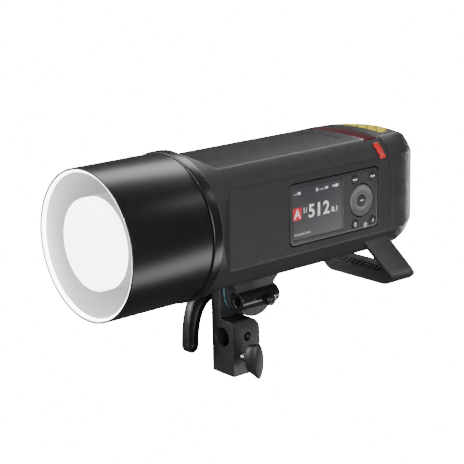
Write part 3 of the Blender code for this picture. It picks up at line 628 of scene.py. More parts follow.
def angles(count):
    """Angles round the body, crowded together at its long edges."""
    fine = np.linspace(0, 2 * np.pi, 4000)
    edges = [np.arctan2(z, x) for x, z in ((HALF_WIDE, 0.0353), (0.0362, HALF_TALL),
                                           (HALF_WIDE, -SIDE_DOWN), (TOP_HALF, -HALF_TALL))]
    edges = np.array(edges + [np.pi - e for e in edges]) % (2 * np.pi)
    gap = np.abs((fine[:, None] - edges + np.pi) % (2 * np.pi) - np.pi)
    crowd = 1 + 7 * np.exp(-(gap / 0.035) ** 2).sum(1)
    share = np.cumsum(crowd)
    return np.interp(np.linspace(share[0], share[-1], count + 1)[:-1], share, fine)


around = angles(440)


def rings(stations):
    """Points of the skin at each (y, flare, inset, width factor, height factor)."""
    y, flare, inset, wide, high = (np.array(v)[:, None] for v in zip(*stations))
    radius = reach(around[None], flare, inset)
    return np.stack(np.broadcast_arrays(radius * np.cos(around) * wide, y,
                                        lamp_z + radius * np.sin(around) * high), -1)


def crowned_patch(name, half, low_y, high_y, lift, thick, edge=0.0):
    """A strip that lies over the crowned top, lift above it and thick deep."""
    x = np.linspace(-half, half, 41)
    top = lamp_z + HALF_TALL + CROWN * (1 - (x / TOP_HALF) ** 2)
    outline = np.concatenate((np.stack((x, top + lift), 1),
                              np.stack((x, top + lift - thick), 1)[::-1]))
    return prism(name, outline, low_y, high_y, "Y", edge, 2)


rim_y = nose_y + 0.0012
slope = np.linspace(0, 1, 30)
stations = [(nose_y, 1.0, 0.0006, 1, 1), (nose_y + 0.0002, 1.0, 0.0002, 1, 1),
            (nose_y + 0.0006, 1.0, 0.0, 1, 1)]
stations += [(rim_y + (facet_y - rim_y) * s, 1 - s, 0.0, 1, 1) for s in slope]
stations += [(facet_y + (seam_y - facet_y) * s, 0.0, 0.0, 1, 1) for s in (0.02, 0.3, 0.6, 0.9)]
stations += [(seam_y - 0.0006, 0.0, 0.0, 1, 1), (seam_y - 0.0002, 0.0, 0.0002, 1, 1),
             (seam_y, 0.0, 0.0006, 1, 1), (seam_y, 0.0, WALL, 1, 1)]
stations += [(seam_y + (rim_y - seam_y) * s, 0.0, WALL, 1, 1) for s in (0.2, 0.5, 0.8)]
stations += [(facet_y, 0.0, WALL, 1, 1)]
stations += [(rim_y + (facet_y - rim_y) * s, 1 - s, WALL, 1, 1) for s in slope[-2::-3]]
stations += [(nose_y, 1.0, WALL, 1, 1)]
housing = skin("housing_shell", rings(stations), loop=True, crisp=18.0)

panel_low, panel_high = corners("display_panel")
window_low, window_high = corners("sensor_window")
panel_hole = rounded(rectangle(panel_low[1:] - GAP, panel_high[1:] + GAP), 0.0050, 10)
port_hole = rounded(rectangle((0.0597, 0.1257), (0.0983, 0.1403)), 0.0012, 4)
groove_y, groove_x = (0.0895, 0.1040), (-0.0120, 0.0260)
far_side = (-0.0550, -0.0450)                       # cutters through the -X wall
vent_y, vent_z, vent_wide = np.arange(-0.030, 0.011, 0.008), (0.120, 0.160), 0.004
tools = [
    layered("panel_hole", panel_hole, (0.0440, HALF_WIDE - 0.0007, HALF_WIDE, 0.0512),
            (0.0, 0.0, -0.0007, -0.0019), "X"),
    crowned_patch("window_hole", window_high[0] + GAP, window_low[1] - GAP,
                  window_high[1] + GAP, 0.003, 0.0042),
    prism("port_hole", port_hole, *far_side, "X", 0.0),
    prism("groove_long", rectangle((groove_x[0] - 0.0005, groove_y[0]),
                                   (groove_x[0] + 0.0005, groove_y[1] + 0.0005)),
          lamp_z + HALF_TALL + 0.0012, lamp_z + NOSE_R, "Z", 0.0),
    prism("groove_cross", rectangle((groove_x[0] + 0.0006, groove_y[1] - 0.0005),
                                    (groove_x[1], groove_y[1] + 0.0005)),
          lamp_z + HALF_TALL + 0.0002, lamp_z + NOSE_R, "Z", 0.0)]
for slot_y in vent_y:
    slot_hole = rounded(rectangle((slot_y, vent_z[0]), (slot_y + vent_wide, vent_z[1])), 0.0018, 5)
    tools.append(prism(f"vent_{len(tools)}", slot_hole, *far_side, "X", 0.0))
carve(housing, tools, crisp=18.0)
fit(housing, body_moulding, "head", "shell", "main_housing")


# Red window and inlays --------------------------------------------------------------------
# A dark red translucent acrylic band covers the radio and optical sensor on the crown. Two
# strips on the upper chamfers, where the battery starts, are coloured a far brighter red than the
# band.

window_red = grained("window_red", (0.115, 0.006, 0.010), (0.075, 0.004, 0.008), 0.12, 0.06,
                     500.0, 0.000005, 30.0, Coat_Weight=0.6, Coat_Roughness=0.05)
inlay_red = grained("inlay_red", (0.72, 0.020, 0.018), (0.60, 0.014, 0.014), 0.30, 0.12,
                    2000.0, 0.00002)
fit(crowned_patch("sensor_band", window_high[0], window_low[1], window_high[1], 0.0, 0.0020,
                  0.0003), window_red, "head", "window_red", "sensor_window")

inlay_low, inlay_high = corners("red_inlay_right")
for side in ("right", "left"):
    first = np.linspace(np.arctan2(0.0340, HALF_WIDE), np.arctan2(0.0460, 0.0414), 24)
    arc = first if side == "right" else np.pi - first
    edge_y = np.linspace(inlay_low[1], inlay_high[1], 6)[:, None]
    radius = reach(arc) + 0.00012
    strip = np.stack(np.broadcast_arrays(radius * np.cos(arc), edge_y,
                                         lamp_z + radius * np.sin(arc)), -1)
    inlay = skin(f"inlay_{side}", strip, ring=False)
    wall = inlay.modifiers.new("wall", "SOLIDIFY")
    wall.thickness = 0.0011
    wall.offset = 1.0 if side == "right" else -1.0
    fit(inlay, inlay_red, "head", "inlay_red", f"red_inlay_{side}")


# Mount ring -------------------------------------------------------------------------------
# A turned collar in smooth black lacquer, screwed to the nose. It takes the reflector, and a
# thin gap on either side parts it from the can and from the body.

def turning(name, tone, shade, matt, spread, lines, lift, centre, metallic=0.0,
            round_drift=0.02, **plain):
    """Material with marks left by turning: the noise reads the distance from the lamp axis
    and the distance along it, and drifts only a little round the piece."""
    made = grained(name, tone, shade, matt, spread, lines, lift, 60.0, metallic, **plain)
    tree = made.node_tree
    turn = tree.nodes["Mapping"]
    turn.inputs["Location"].default_value = -np.array(centre)
    split = tree.nodes.new("ShaderNodeSeparateXYZ")
    tree.links.new(turn.outputs["Vector"], split.inputs[0])
    x, y, z = split.outputs
    square = worked(tree, "ADD", worked(tree, "MULTIPLY", x, x), worked(tree, "MULTIPLY", z, z))
    join = tree.nodes.new("ShaderNodeCombineXYZ")
    tree.links.new(worked(tree, "SQRT", square), join.inputs["X"])
    tree.links.new(y, join.inputs["Y"])
    tree.links.new(worked(tree, "MULTIPLY", x, round_drift), join.inputs["Z"])
    tree.links.new(join.outputs[0], tree.nodes["Group"].inputs["Place"])
    return made


axis_point = (0.0, 0.0, lamp_z)
ring_r, ring_front, ring_back = ring_high[0], ring_low[1], ring_high[1]
ring_gloss = turning("ring_lacquer", (0.011, 0.011, 0.012), (0.008, 0.008, 0.009), 0.27, 0.08,
                     1500.0, 0.000005, axis_point)
ring_line = [(0.0545, ring_front), (ring_r, ring_front), (ring_r, ring_back),
             (0.0340, ring_back), (0.0340, ring_back - 0.0025), (0.0545, ring_back - 0.0025)]
fit(turned("collar", rounded(ring_line, (0.0003, 0.0011, 0.0008, 0.0003, 0.0003, 0.0003), 6),
           axis_point, "Y", 240), ring_gloss, "head", "ring_gloss", "mount_ring")


# Reflector --------------------------------------------------------------------------------
# A spun aluminium can, anodised satin black outside, with a rolled front edge. A bevelled lip
# inside it, bright with painted glow, leads to a satin silver bowl that narrows towards the lamp.

shell_low, shell_high = corners("reflector_shell")
reflector_r, front_y, shell_back = shell_high[0], shell_low[1], ring_front - GAP
satin_black = turning("satin_black", (0.009, 0.009, 0.010), (0.006, 0.006, 0.007), 0.31, 0.07,
                      2400.0, 0.000003, axis_point)
bowl_silver = turning("bowl_silver", (0.92, 0.92, 0.94), (0.87, 0.87, 0.89), 0.36, 0.16,
                      1200.0, 0.00001, axis_point, 0.6)
# Painted glow: the lip's emission makes it shine bright, though it is no lamp.
lip_painted_glow = turning("lip_painted_glow", (0.95, 0.95, 0.95), (0.90, 0.90, 0.91), 0.22, 0.10,
                     1500.0, 0.000005, axis_point, 0.0,
                     Emission_Color=(1.0, 1.0, 1.0, 1.0), Emission_Strength=8.0)

can_line = [(0.0492, shell_back - 0.0016), (0.0492, shell_high[1]), (0.0520, shell_high[1]),
            (0.0520, shell_back), (reflector_r, shell_back), (reflector_r, front_y),
            (0.0598, front_y), (0.0598, shell_back - 0.0016)]
fit(turned("reflector_can", rounded(can_line, (0.0003, 0.0003, 0.0003, 0.0003, 0.0009, 0.0006,
                                               0.0005, 0.0003), 6), axis_point, "Y", 240),
    satin_black, "reflector", "reflector_black", "reflector_shell")

lip_y = corners("reflector_bowl")[0][1]
lip_r, bowl_r, bowl_y = 0.0594, 0.0575, lip_y + 0.0028
sweep = np.linspace(0, 1, 48)
bowl_line = np.stack((bowl_r - 0.0095 * sweep ** 1.6, bowl_y + 0.0690 * sweep), 1)
inside = np.concatenate(([(bowl_r + 0.0008, bowl_y + 0.0002)], bowl_line + (0.0, 0.0006)))
fit(turned("silver_bowl", np.concatenate((inside, inside[::-1] + (0.0009, 0.0))), axis_point,
           "Y", 240, crisp=50.0), bowl_silver, "reflector", "bowl_silver", "reflector_bowl")
lip_line = [(lip_r, lip_y), (bowl_r - 0.0001, bowl_y - 0.0004), (bowl_r + 0.0009, bowl_y),
            (lip_r, bowl_y)]
fit(turned("painted_glow_lip", rounded(lip_line, (0.0002, 0.0002, 0.0, 0.0), 4), axis_point, "Y", 240),
    lip_painted_glow, "reflector", "bowl_silver")

MARK_Y, MARK_R = -0.0800, 0.0034


def mark_ring():
    """A thin ring seen from above: its height is the can's circle, the root of R^2 - x^2."""
    a = np.linspace(0, 2 * np.pi, 72, endpoint=False)[None]
    radius = MARK_R + np.array((-0.0003, -0.0002, 0.0002, 0.0003))[:, None]
    proud = np.array((-0.0002, 0.00004, 0.00004, -0.0002))[:, None]
    x = radius * np.cos(a)
    return np.stack((x, MARK_Y + radius * np.sin(a),
                     lamp_z + np.sqrt(reflector_r ** 2 - x ** 2) + proud), -1)


fit(skin("index_mark", mark_ring(), loop=True), gloss_black, "reflector", "reflector_black")


# Glass dome and lamps ---------------------------------------------------------------------
# A borosilicate cap over the ring-shaped flash tube and the LED modelling lamp, all standing
# on a white ceramic base. Its frosted front glows evenly, and its skirt behind is clearer.

dome_high = corners("glass_dome")[1]
dome_r, dome_front = dome_high[0] - 0.0005, front_y + 0.0036
dome_deep, dome_wall, frost_end = 0.0034, 0.0020, dome_front + 0.0105
frosted = grained("frosted_glass", (0.93, 0.93, 0.92), (0.88, 0.88, 0.87), 0.30, 0.15, 1400.0,
                  0.00003, 25.0, Emission_Color=(1.0, 1.0, 0.99, 1.0), Emission_Strength=5.0)
clear_glass = grained("clear_glass", (0.30, 0.31, 0.31), (0.16, 0.17, 0.17), 0.10, 0.05, 300.0,
                      0.000005, 60.0, Emission_Color=(0.5, 0.5, 0.5, 1.0), Emission_Strength=0.7)


def dome_line(inset):
    """Half section of the cap: a cubic superellipse, (r / R)^3 + (z / deep)^3 = 1, that runs
    on into a straight wall as far as the frosting goes."""
    t = np.linspace(0, np.pi / 2, 40)
    radius = (dome_r - inset) * np.sin(t) ** (2 / 3)
    depth = dome_front + inset + dome_deep * (1 - np.cos(t) ** (2 / 3))
    return np.concatenate((np.stack((radius, depth), 1), [(dome_r - inset, frost_end)]))


fit(turned("frosted_cap", np.concatenate((dome_line(0.0), dome_line(dome_wall)[::-1])),
           axis_point, "Y", 160), frosted, "head", "dome_glass", "glass_dome")
skirt = [(dome_r, frost_end), (dome_r, dome_high[1]), (dome_r - dome_wall, dome_high[1]),
         (dome_r - dome_wall, frost_end)]
fit(turned("clear_skirt", skirt, axis_point, "Y", 160), clear_glass, "head", "dome_glass")


# Control panel ----------------------------------------------------------------------------
# A satin panel set into the side, with a lit display behind a window, a dished dial round a
# set button, four rubber keys with printed signs, and an indicator between the lower two.

panel_face = panel_high[0]
screen_low, screen_high = corners("display_glass")
panel_satin = grained("panel_satin", (0.044, 0.044, 0.048), (0.037, 0.037, 0.040), 0.34, 0.12,
                      2800.0, 0.00002)
display_grey = grained("display_grey", (0.038, 0.039, 0.043), (0.033, 0.034, 0.038), 0.42, 0.04,
                       300.0, 0.000002, 18.0, Emission_Color=(0.055, 0.056, 0.062, 1.0),
                       Emission_Strength=0.25)
key_rubber = grained("key_rubber", (0.030, 0.030, 0.032), (0.024, 0.024, 0.026), 0.48, 0.20,
                     3000.0, 0.00003)
dial_satin = grained("dial_satin", (0.125, 0.125, 0.132), (0.100, 0.100, 0.106), 0.42, 0.22,
                     4200.0, 0.00004)
# White print with a glow of its own: on the display it stands for the backlight, while on the keys,
# the set button and the panel's indicator ring it is painted glow.
print_white_backlit_and_painted_glow = grained("print_white_backlit_and_painted_glow", (0.86, 0.87, 0.86), (0.78, 0.79, 0.78), 0.5, 0.1, 2000.0,
                      0.000004, Emission_Color=(0.9, 0.92, 0.91, 1.0), Emission_Strength=0.12)
print_dim = grained("print_dim", (0.36, 0.37, 0.37), (0.30, 0.31, 0.31), 0.5, 0.1, 2000.0,
                    0.000004, Emission_Color=(0.3, 0.31, 0.31, 1.0), Emission_Strength=0.10)
badge_red = grained("badge_red", (0.56, 0.030, 0.040), (0.46, 0.024, 0.034), 0.4, 0.1, 1500.0,
                    0.000004, Emission_Color=(0.6, 0.03, 0.04, 1.0), Emission_Strength=0.15)

DIAL_AT, KEY_R, LED_AT, LED_R = (0.1043, 0.1404), 0.0034, (0.1095, 0.1180), 0.0012
KEYS = {name: (corners(name)[0] + corners(name)[1])[1:] / 2
        for name in ("button_menu", "button_group", "button_lamp", "button_test")}
PANEL_GAP, KEY_GAP, DIAL_GAP = 0.0006, 0.0006, 0.0009
dial_r = (corners("dial")[1] - corners("dial")[0])[2] / 2


def peg(name, at, radius, low, high):
    """A plain round cutter along X."""
    return turned(name, [(0, low), (radius, low), (radius, high), (0, high)], (0, *at), "X", 72)


plate_edge = rectangle(panel_low[1:] + PANEL_GAP, panel_high[1:] - PANEL_GAP)
plate = prism("panel_plate", rounded(plate_edge, 0.0045, 10), panel_low[0], panel_face, "X",
              0.0003)
opening = rounded(rectangle(screen_low[1:] - GAP, screen_high[1:] + GAP), 0.0022, 6)
through = (0.030, 0.051)                            # cutters run from under to over the plate
holes = [layered("screen_hole", opening, (through[0], panel_face - 0.0004, panel_face, through[1]),
                 (0.0, 0.0, -0.0004, -0.0014), "X"),
         peg("dial_hole", DIAL_AT, dial_r + DIAL_GAP, *through),
         peg("led_hole", LED_AT, LED_R + GAP, *through)]
holes += [peg(f"{name}_hole", at, KEY_R + KEY_GAP, *through) for name, at in KEYS.items()]
fit(carve(plate, holes), panel_satin, "head", "panel", "display_panel")

glass = rounded(rectangle(screen_low[1:], screen_high[1:]), 0.0020, 6)
fit(prism("screen_glass", glass, screen_low[0], screen_high[0], "X", 0.0002), display_grey,
    "head", "display", "display_glass")

dial_low, dial_high = corners("dial")
top = dial_high[0]
dish = np.linspace(0, 1, 20)
bowl_in = np.stack((0.0060 + (dial_r - 0.0026 - 0.0060) * dish,
                    top - 0.0004 - 0.00045 * np.sin(np.pi * dish)), 1)
dial_line = np.concatenate(([(0.0052, dial_low[0]), (0.0052, top - 0.0007)], bowl_in,
                            [(dial_r - 0.0018, top), (dial_r - 0.0009, top),
                             (dial_r - 0.0002, top - 0.0006), (dial_r, dial_low[0])]))


def milled(a, depth):
    """Radius factor of the dial: fine flutes round its outer wall only."""
    return 1 - 0.006 * (0.5 + 0.5 * np.cos(60 * a)) * (np.arange(len(depth))[:, None] > 24)


fit(turned("dial_wheel", dial_line, (0, *DIAL_AT), "X", 240, milled, 28.0), dial_satin, "dial",
    "button_rubber", "dial")


def key(name, at, radius, low, high, crown):
    """A key's cap: its top is a shallow dome, crown high, with a rounded rim."""
    t = np.linspace(0, 1, 12)
    line = np.stack((radius * t * 0.93, high - crown * t ** 2), 1)
    rim = [(radius * 0.985, high - crown - 0.00022), (radius, high - crown - 0.0006)]
    return turned(name, np.concatenate((line, rim, [(radius, low), (0, low)])), (0, *at), "X", 72)


set_low, set_high = corners("set_button")
fit(key("set_key", DIAL_AT, (set_high - set_low)[2] / 2, set_low[0], set_high[0], 0.0002),
    key_rubber, "set_button", "button_rubber", "set_button")
for name, at in KEYS.items():
    low, high = corners(name)
    fit(key(name.replace("button", "key"), at, KEY_R, low[0], high[0], 0.0003), key_rubber,
        name, "button_rubber", name)


def one_piece(name, shape):
    """An object that takes over the mesh built up in a bmesh."""
    mesh = bpy.data.meshes.new(name)
    shape.to_mesh(mesh)
    shape.free()
    piece = bpy.data.objects.new(name, mesh)
    bpy.context.scene.collection.objects.link(piece)
    return piece


def print_on(name, shapes, face, look, body, slot, thick=0.00005):
    """Flat printed shapes as one thin piece on a face that looks along +X."""
    parts = [prism(f"{name}_{i}", shape, face - thick, face + thick, "X", 0.0)
             for i, shape in enumerate(shapes)]
    whole = bmesh.new()
    for part in parts:
        whole.from_mesh(part.data)
        bpy.data.objects.remove(part)
    return fit(one_piece(name, whole), look, body, slot)


def bar(y, z, wide, tall):
    """A printed bar about its middle, its corners a little round."""
    half = np.array((wide, tall)) / 2
    return rounded(rectangle((y, z) - half, (y, z) + half), 0.3 * min(wide, tall), 3)


def figures(name, words, face, look, thick=0.00005):
    """Display figures: each is (text, y, foot z, height, boldness), a font curve made a mesh
    and stood on the face with its reading direction along +Y."""
    whole = bmesh.new()
    for text, y, z, tall, bold in words:
        curve = bpy.data.curves.new(name, "FONT")
        curve.body = text
        curve.size = tall / 0.70
        curve.offset = bold
        curve.extrude = thick
        curve.space_character = 1.02
        letters = bpy.data.objects.new(name, curve)
        bpy.context.scene.collection.objects.link(letters)
        graph = bpy.context.evaluated_depsgraph_get()
        mesh = bpy.data.meshes.new_from_object(letters.evaluated_get(graph))
        mesh.transform(Matrix(((0, 0, 1, face), (1, 0, 0, y), (0, 1, 0, z), (0, 0, 0, 1))))
        whole.from_mesh(mesh)
        bpy.data.objects.remove(letters)
    bmesh.ops.remove_doubles(whole, verts=whole.verts, dist=1e-6)
    bmesh.ops.recalc_face_normals(whole, faces=whole.faces)
    return fit(one_piece(name, whole), look, "head", "display")


screen_face = screen_high[0]
big_foot, big_tall = 0.1362, 0.0108
figures("power_figures", [(digit, y, big_foot, big_tall, bold) for digit, y, bold in
                          (("5", 0.0424, 0.00030), ("1", 0.0508, 0.00048), ("2", 0.0594, 0.00030))],
        screen_face, print_white_backlit_and_painted_glow)
figures("small_figures", (("1/", 0.0360, 0.1408, 0.0048, 0.0),
                          ("0.1", 0.0692, 0.1364, 0.0044, 0.00012)), screen_face, print_white_backlit_and_painted_glow)
badge = rounded(rectangle((0.0251, 0.1358), (0.0347, 0.1463)), 0.0005, 3)
print_on("group_badge", [badge], screen_face, badge_red, "head", "display", 0.00004)
figures("group_figure", (("A", 0.0263, 0.1374, 0.0078, 0.00010),), screen_face + 0.00005,
        print_white_backlit_and_painted_glow)
icons = [bar(y, 0.1584, wide, tall) for y, wide, tall in
         ((0.0322, 0.0030, 0.0024), (0.0524, 0.0016, 0.0030), (0.0627, 0.0014, 0.0022),
          (0.0645, 0.0012, 0.0022), (0.0713, 0.0010, 0.0020), (0.0752, 0.0042, 0.0024))]
print_on("status_icons", icons, screen_face, print_white_backlit_and_painted_glow, "head", "display")
faint = [bar(0.0262 + 0.0016 * k, 0.1580, 0.0008, 0.0010 + 0.0003 * k) for k in range(3)]
faint += [bar(0.0548 + 0.0018 * k, 0.1579, 0.0011, 0.0014) for k in range(4)]
faint += [bar(0.0272 + 0.0024 * k, 0.1236, 0.0014, 0.0022) for k in range(8)]
print_on("status_row", faint, screen_face, print_dim, "head", "display")


def ring_marks(y, z, outer, inner, count=5):
    """A printed ring, as arcs that meet end to end."""
    arcs = []
    for k in range(count):
        a = np.linspace(2 * np.pi * k / count, 2 * np.pi * (k + 0.96) / count, 9)
        out = np.stack((y + outer * np.cos(a), z + outer * np.sin(a)), 1)
        back_arc = np.stack((y + inner * np.cos(a), z + inner * np.sin(a)), 1)
        arcs.append(np.concatenate((out, back_arc[::-1])))
    return arcs


(menu_y, menu_z), (group_y, group_z), (lamp_y, lamp_key_z), (test_y, test_z) = KEYS.values()
# The signs on the keys and the set button, and the ring round the indicator, are white print with a
# painted glow.
key_face = corners("button_menu")[1][0] - 0.00002
for name, y, z, node in (("menu_sign", menu_y, menu_z, "button_menu"),
                         ("group_sign", group_y, group_z, "button_group")):
    print_on(name, [bar(y + 0.0018 * k, z, 0.0014, 0.0013) for k in (-1, 0, 1)], key_face,
             print_white_backlit_and_painted_glow, node, "button_rubber", 0.00016)
print_on("lamp_sign", ring_marks(lamp_y, lamp_key_z + 0.0004, 0.0014, 0.0009)
         + [bar(lamp_y, lamp_key_z - 0.0016, 0.0011, 0.0007)], key_face, print_white_backlit_and_painted_glow,
         "button_lamp", "button_rubber", 0.00016)
bolt = [(test_y + dy, test_z + dz) for dy, dz in
        ((0.0006, 0.0019), (-0.0010, -0.0002), (-0.0001, -0.0002), (-0.0007, -0.0019),
         (0.0010, 0.0004), (0.0001, 0.0004))]
print_on("test_sign", [bolt], key_face, print_white_backlit_and_painted_glow, "button_test", "button_rubber", 0.00016)
print_on("set_sign", [bar(DIAL_AT[0] + 0.0013 * k, DIAL_AT[1], 0.0010, 0.0012)
                      for k in (-1, 0, 1)], set_high[0] - 0.00002, print_white_backlit_and_painted_glow, "set_button",
         "button_rubber", 0.00010)
print_on("indicator_ring", ring_marks(*LED_AT, 0.0020, 0.0016), panel_face, print_white_backlit_and_painted_glow, "head",
         "panel")


# Battery ----------------------------------------------------------------------------------
# A moulded pack that plugs into the back of the body and carries its outline on, tapering to
# a flat rear. A yellow printed label lies on its crown, and a latch is let into its -X side.

case_low, case_high = corners("battery_case")
battery_front, battery_back = case_low[1], case_high[1]
taper = smooth_line(((battery_front - 0.0050, 1.0, 1.0), (battery_front + 0.0005, 1.0, 1.0),
                     (0.1500, 0.972, 0.998), (0.1640, 0.890, 0.982), (0.1740, 0.810, 0.950),
                     (0.1788, 0.760, 0.915), (battery_back, 0.715, 0.870)), 70)
taper = taper[taper[:, 0] > battery_front + 0.0012]
shape = [(battery_front + 0.0030, 0.0, WALL, 0.0, 0.0), (battery_front + 0.0030, 0.0, WALL, 1, 1),
         (battery_front, 0.0, WALL, 1, 1), (battery_front, 0.0, 0.0006, 1, 1),
         (battery_front + 0.0002, 0.0, 0.0002, 1, 1), (battery_front + 0.0006, 0.0, 0.0, 1, 1)]
shape += [(y, 0.0, 0.0, w, h) for y, w, h in taper]
shape += [(battery_back, 0.0, 0.0, 0.700, 0.855), (battery_back, 0.0, 0.0, 0.0, 0.0)]
battery = skin("battery_pack", rings(shape), crisp=38.0)
latch_low, latch_high = corners("battery_latch")
latch_hole = rounded(rectangle(latch_low[1:] - GAP, latch_high[1:] + GAP), 0.0012, 4)
carve(battery, [prism("latch_hole", latch_hole, -0.0530, -0.0440, "X", 0.0)], crisp=38.0)
fit(battery, body_moulding, "battery", "shell", "battery_case")
latch = prism("latch_slide", rounded(rectangle(latch_low[1:], latch_high[1:]), 0.0010, 4),
              latch_low[0], latch_high[0], "X", 0.0005)
grips = [prism(f"grip_{k}", rectangle((latch_low[1] + 0.002, z), (latch_high[1] - 0.002, z + 0.0012)),
               latch_low[0] - 0.001, latch_low[0] + 0.0006, "X", 0.0)
         for k, z in enumerate(np.arange(latch_low[2] + 0.004, latch_high[2] - 0.004, 0.0025))]
fit(carve(latch, grips), knob_moulding, "battery_latch", "latch", "battery_latch")

LABEL_HALF, LABEL_Y = 0.0288, (0.1502, 0.1738)


def label_grid():
    """Points of the label: the pack's crowned top, a parabola across X that shrinks with the
    taper, raised by 0.3 mm."""
    x, y = np.linspace(-LABEL_HALF, LABEL_HALF, 40)[None], np.linspace(*LABEL_Y, 24)[:, None]
    wide = np.interp(y, taper[:, 0], taper[:, 1])
    high = np.interp(y, taper[:, 0], taper[:, 2])
    top = high * (HALF_TALL + CROWN * (1 - (x / wide / TOP_HALF) ** 2))
    return np.stack(np.broadcast_arrays(x * wide, y, lamp_z + top + 0.0003), -1)


label = skin("battery_sticker", label_grid(), ring=False)
sheet = label.modifiers.new("paper", "SOLIDIFY")
sheet.thickness = 0.0005
sheet.offset = -1.0


def striped(name, tone, stripe, matt, pitch=0.0115, line_wide=0.0011):
    """Printed label: thin diagonal lines over the grained yellow, where the remainder of
    (x + y) over the pitch is small."""
    made = grained(name, tone, [0.94 * c for c in tone], matt, 0.10, 900.0, 0.000008, 50.0,
                   Specular_Ior_Level=0.12)
    tree = made.node_tree
    split = tree.nodes.new("ShaderNodeSeparateXYZ")
    tree.links.new(tree.nodes["Texture Coordinate"].outputs["Object"], split.inputs[0])
    along_both = worked(tree, "ADD", split.outputs["X"], split.outputs["Y"])
    in_pitch = worked(tree, "FLOORED_MODULO", along_both, pitch)
    blend = tree.nodes.new("ShaderNodeMix")
    blend.data_type = "RGBA"
    tree.links.new(worked(tree, "LESS_THAN", in_pitch, line_wide), blend.inputs["Factor"])
    tree.links.new(tree.nodes["Group"].outputs["Colour"], blend.inputs["A"])
    blend.inputs["B"].default_value = (*stripe, 1.0)
    tree.links.new(blend.outputs["Result"],
                   tree.nodes["Principled BSDF"].inputs["Base Color"])
    return made


fit(label, striped("label_print", (0.74, 0.61, 0.004), (0.10, 0.09, 0.03), 0.60), "battery",
    "label", "battery_label")


# Grip -------------------------------------------------------------------------------------
# A moulded loop under the battery: two raked side plates and a deep bar between them, whose
# upper slope has eleven ribs for the fingers.

handle_low, handle_high = corners("handle")
grip_x, grip_floor, plate_thick, bar_tall = handle_high[0], handle_low[2], 0.0050, 0.0130
grip_front, grip_back, rib_count, rib_pitch, rib_half = 0.1120, 0.1425, 11, 0.0056, 0.0011
fall = (TOP_HALF - HALF_WIDE) / (SIDE_DOWN - HALF_TALL)


def under(x):
    """Height of the body's low chamfer over a point of the grip's top edge."""
    return lamp_z - HALF_TALL + (x - TOP_HALF) / fall - 0.0007


inner = grip_x - plate_thick
outer_u = rounded([(grip_x, 0.09), (grip_x, grip_floor), (-grip_x, grip_floor), (-grip_x, 0.09)],
                  (0.0, 0.0150, 0.0150, 0.0), 12)[1:-1]
inner_u = rounded([(-inner, 0.09), (-inner, grip_floor + bar_tall),
                   (inner, grip_floor + bar_tall), (inner, 0.09)],
                  (0.0, 0.0080, 0.0080, 0.0), 9)[1:-1]
plates = 12


def flank(x, bottom, top):
    """Points down one straight flank, close enough together to take the rake's bend."""
    return np.stack((np.full(plates, x), np.linspace(bottom, top, plates)), 1)


start = outer_u[0][1]
grip_line = np.concatenate((flank(grip_x, under(grip_x), start + 0.001), outer_u,
                            flank(-grip_x, start + 0.001, under(grip_x)),
                            flank(-inner, under(inner), inner_u[0][1] + 0.001), inner_u,
                            flank(inner, inner_u[-1][1] + 0.001, under(inner))))
grip = prism("grip_loop", grip_line, grip_front, grip_back, "Y", 0.0014, 4)
points = np.array([v.co for v in grip.data.vertices])
rake, shoulder, knee = 0.90, 0.1003, 0.0590
points[:, 1] += rake * (shoulder - np.maximum(points[:, 2], knee))
grip.data.vertices.foreach_set("co", points.ravel())
bar_front = grip_front + rake * (shoulder - knee)
wedge = np.array(((-0.003, 0.0090), (0.0105, 0.0131), (0.0105, 0.0300), (-0.003, 0.0300)))
wedge += (bar_front, grip_floor)
carve(grip, [prism("wedge", wedge, -0.0330, 0.0330, "X", 0.0)])
fit(grip, body_moulding, "head", "shell", "handle")

rib_side = np.array(((0.0002, 0.0085), (0.0098, 0.0120), (0.0108, 0.0138), (0.0092, 0.0141),
                     (0.0004, 0.0106)))
rib_side += (bar_front, grip_floor)
for k in range(rib_count):
    middle = rib_pitch * (k - rib_count // 2)
    fit(prism(f"grip_rib_{k + 1}", rib_side, middle - rib_half, middle + rib_half, "X", 0.0003),
        body_moulding, "head", "shell")


# Socket cover and inside ------------------------------------------------------------------
# On the -X side a rubber cover closes the sockets. Inside, seen only through the vents and
# when the battery is out, are the boards, capacitors, heat sink, fan, cells and contacts.

flap_low, flap_high = corners("port_flap")
flap = prism("socket_cover", rounded(rectangle(flap_low[1:], flap_high[1:]), 0.0020, 6),
             flap_low[0], flap_high[0], "X", 0.0004)
cover_rubber = grained("cover_rubber", (0.030, 0.030, 0.031), (0.024, 0.024, 0.025), 0.72, 0.15,
                       2200.0, 0.00005)
fit(flap, cover_rubber, "port_flap", "flap_rubber", "port_flap")

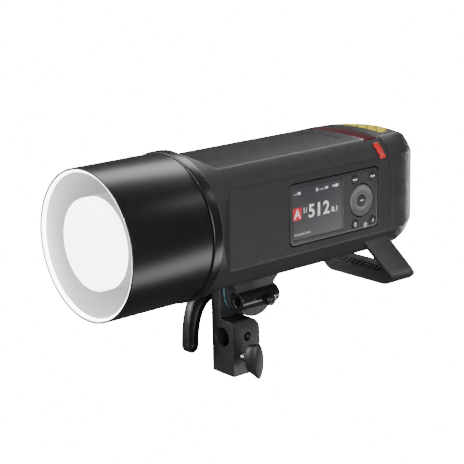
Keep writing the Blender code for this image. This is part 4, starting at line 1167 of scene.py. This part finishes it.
INSIDE = (
    # finish: name, tone, shade, matt, spread, grains, lift, then patches, metallic and stretch;
    # last the nodes that have it
    ("board_green", (0.020, 0.115, 0.050), (0.012, 0.085, 0.036), 0.45, 0.25, 1100.0, 0.00003,
     200.0, ("control_board", "power_board")),
    ("sleeve_film", (0.026, 0.026, 0.045), (0.020, 0.020, 0.036), 0.30, 0.10, 500.0, 0.00001,
     ("capacitor_1", "capacitor_2", "capacitor_3")),
    ("fin_alloy", (0.58, 0.58, 0.60), (0.50, 0.50, 0.52), 0.38, 0.20, 900.0, 0.00001, 60.0, 1.0,
     (1.0, 0.1, 1.0), ("heat_sink",)),
    ("fan_plastic", (0.026, 0.026, 0.027), (0.020, 0.020, 0.021), 0.5, 0.15, 1500.0, 0.00003,
     ("fan_frame", "fan_rotor", "port_block", "battery_cover")),
    ("ceramic", (0.80, 0.79, 0.76), (0.74, 0.73, 0.70), 0.45, 0.15, 1200.0, 0.00003,
     ("lamp_base",)),
    ("tube_quartz", (0.84, 0.84, 0.80), (0.78, 0.78, 0.74), 0.14, 0.06, 300.0, 0.000005,
     ("flash_tube",)),
    ("lamp_phosphor", (0.84, 0.74, 0.32), (0.78, 0.68, 0.28), 0.45, 0.10, 1500.0, 0.00003,
     ("modelling_lamp",)),
    ("contact_brass", (0.74, 0.58, 0.28), (0.66, 0.50, 0.24), 0.26, 0.15, 900.0, 0.00001, 60.0,
     1.0, (0.2, 1.0, 0.2), ("battery_terminals",)),
    ("cell_wrap", (0.045, 0.16, 0.40), (0.036, 0.13, 0.34), 0.35, 0.10, 700.0, 0.00001,
     ("cell_row_1", "cell_row_2", "cell_row_3")),
    ("module_grey", (0.28, 0.28, 0.28), (0.24, 0.24, 0.24), 0.6, 0.15, 900.0, 0.00002,
     ("display_module",)),
    ("led_lens", (0.55, 0.56, 0.52), (0.48, 0.49, 0.46), 0.2, 0.05, 900.0, 0.00001,
     ("indicator",)))
inside = [(plated_steel, ("tilt_bolt",)), (teal_washer, ("friction_ring",)),
          (body_moulding, ("rear_frame",))]
inside += [(grained(*finish), names) for *finish, names in INSIDE]
for look, names in inside:
    for name in names:
        nodes[name].data.materials.clear()
        nodes[name].data.materials.append(look)
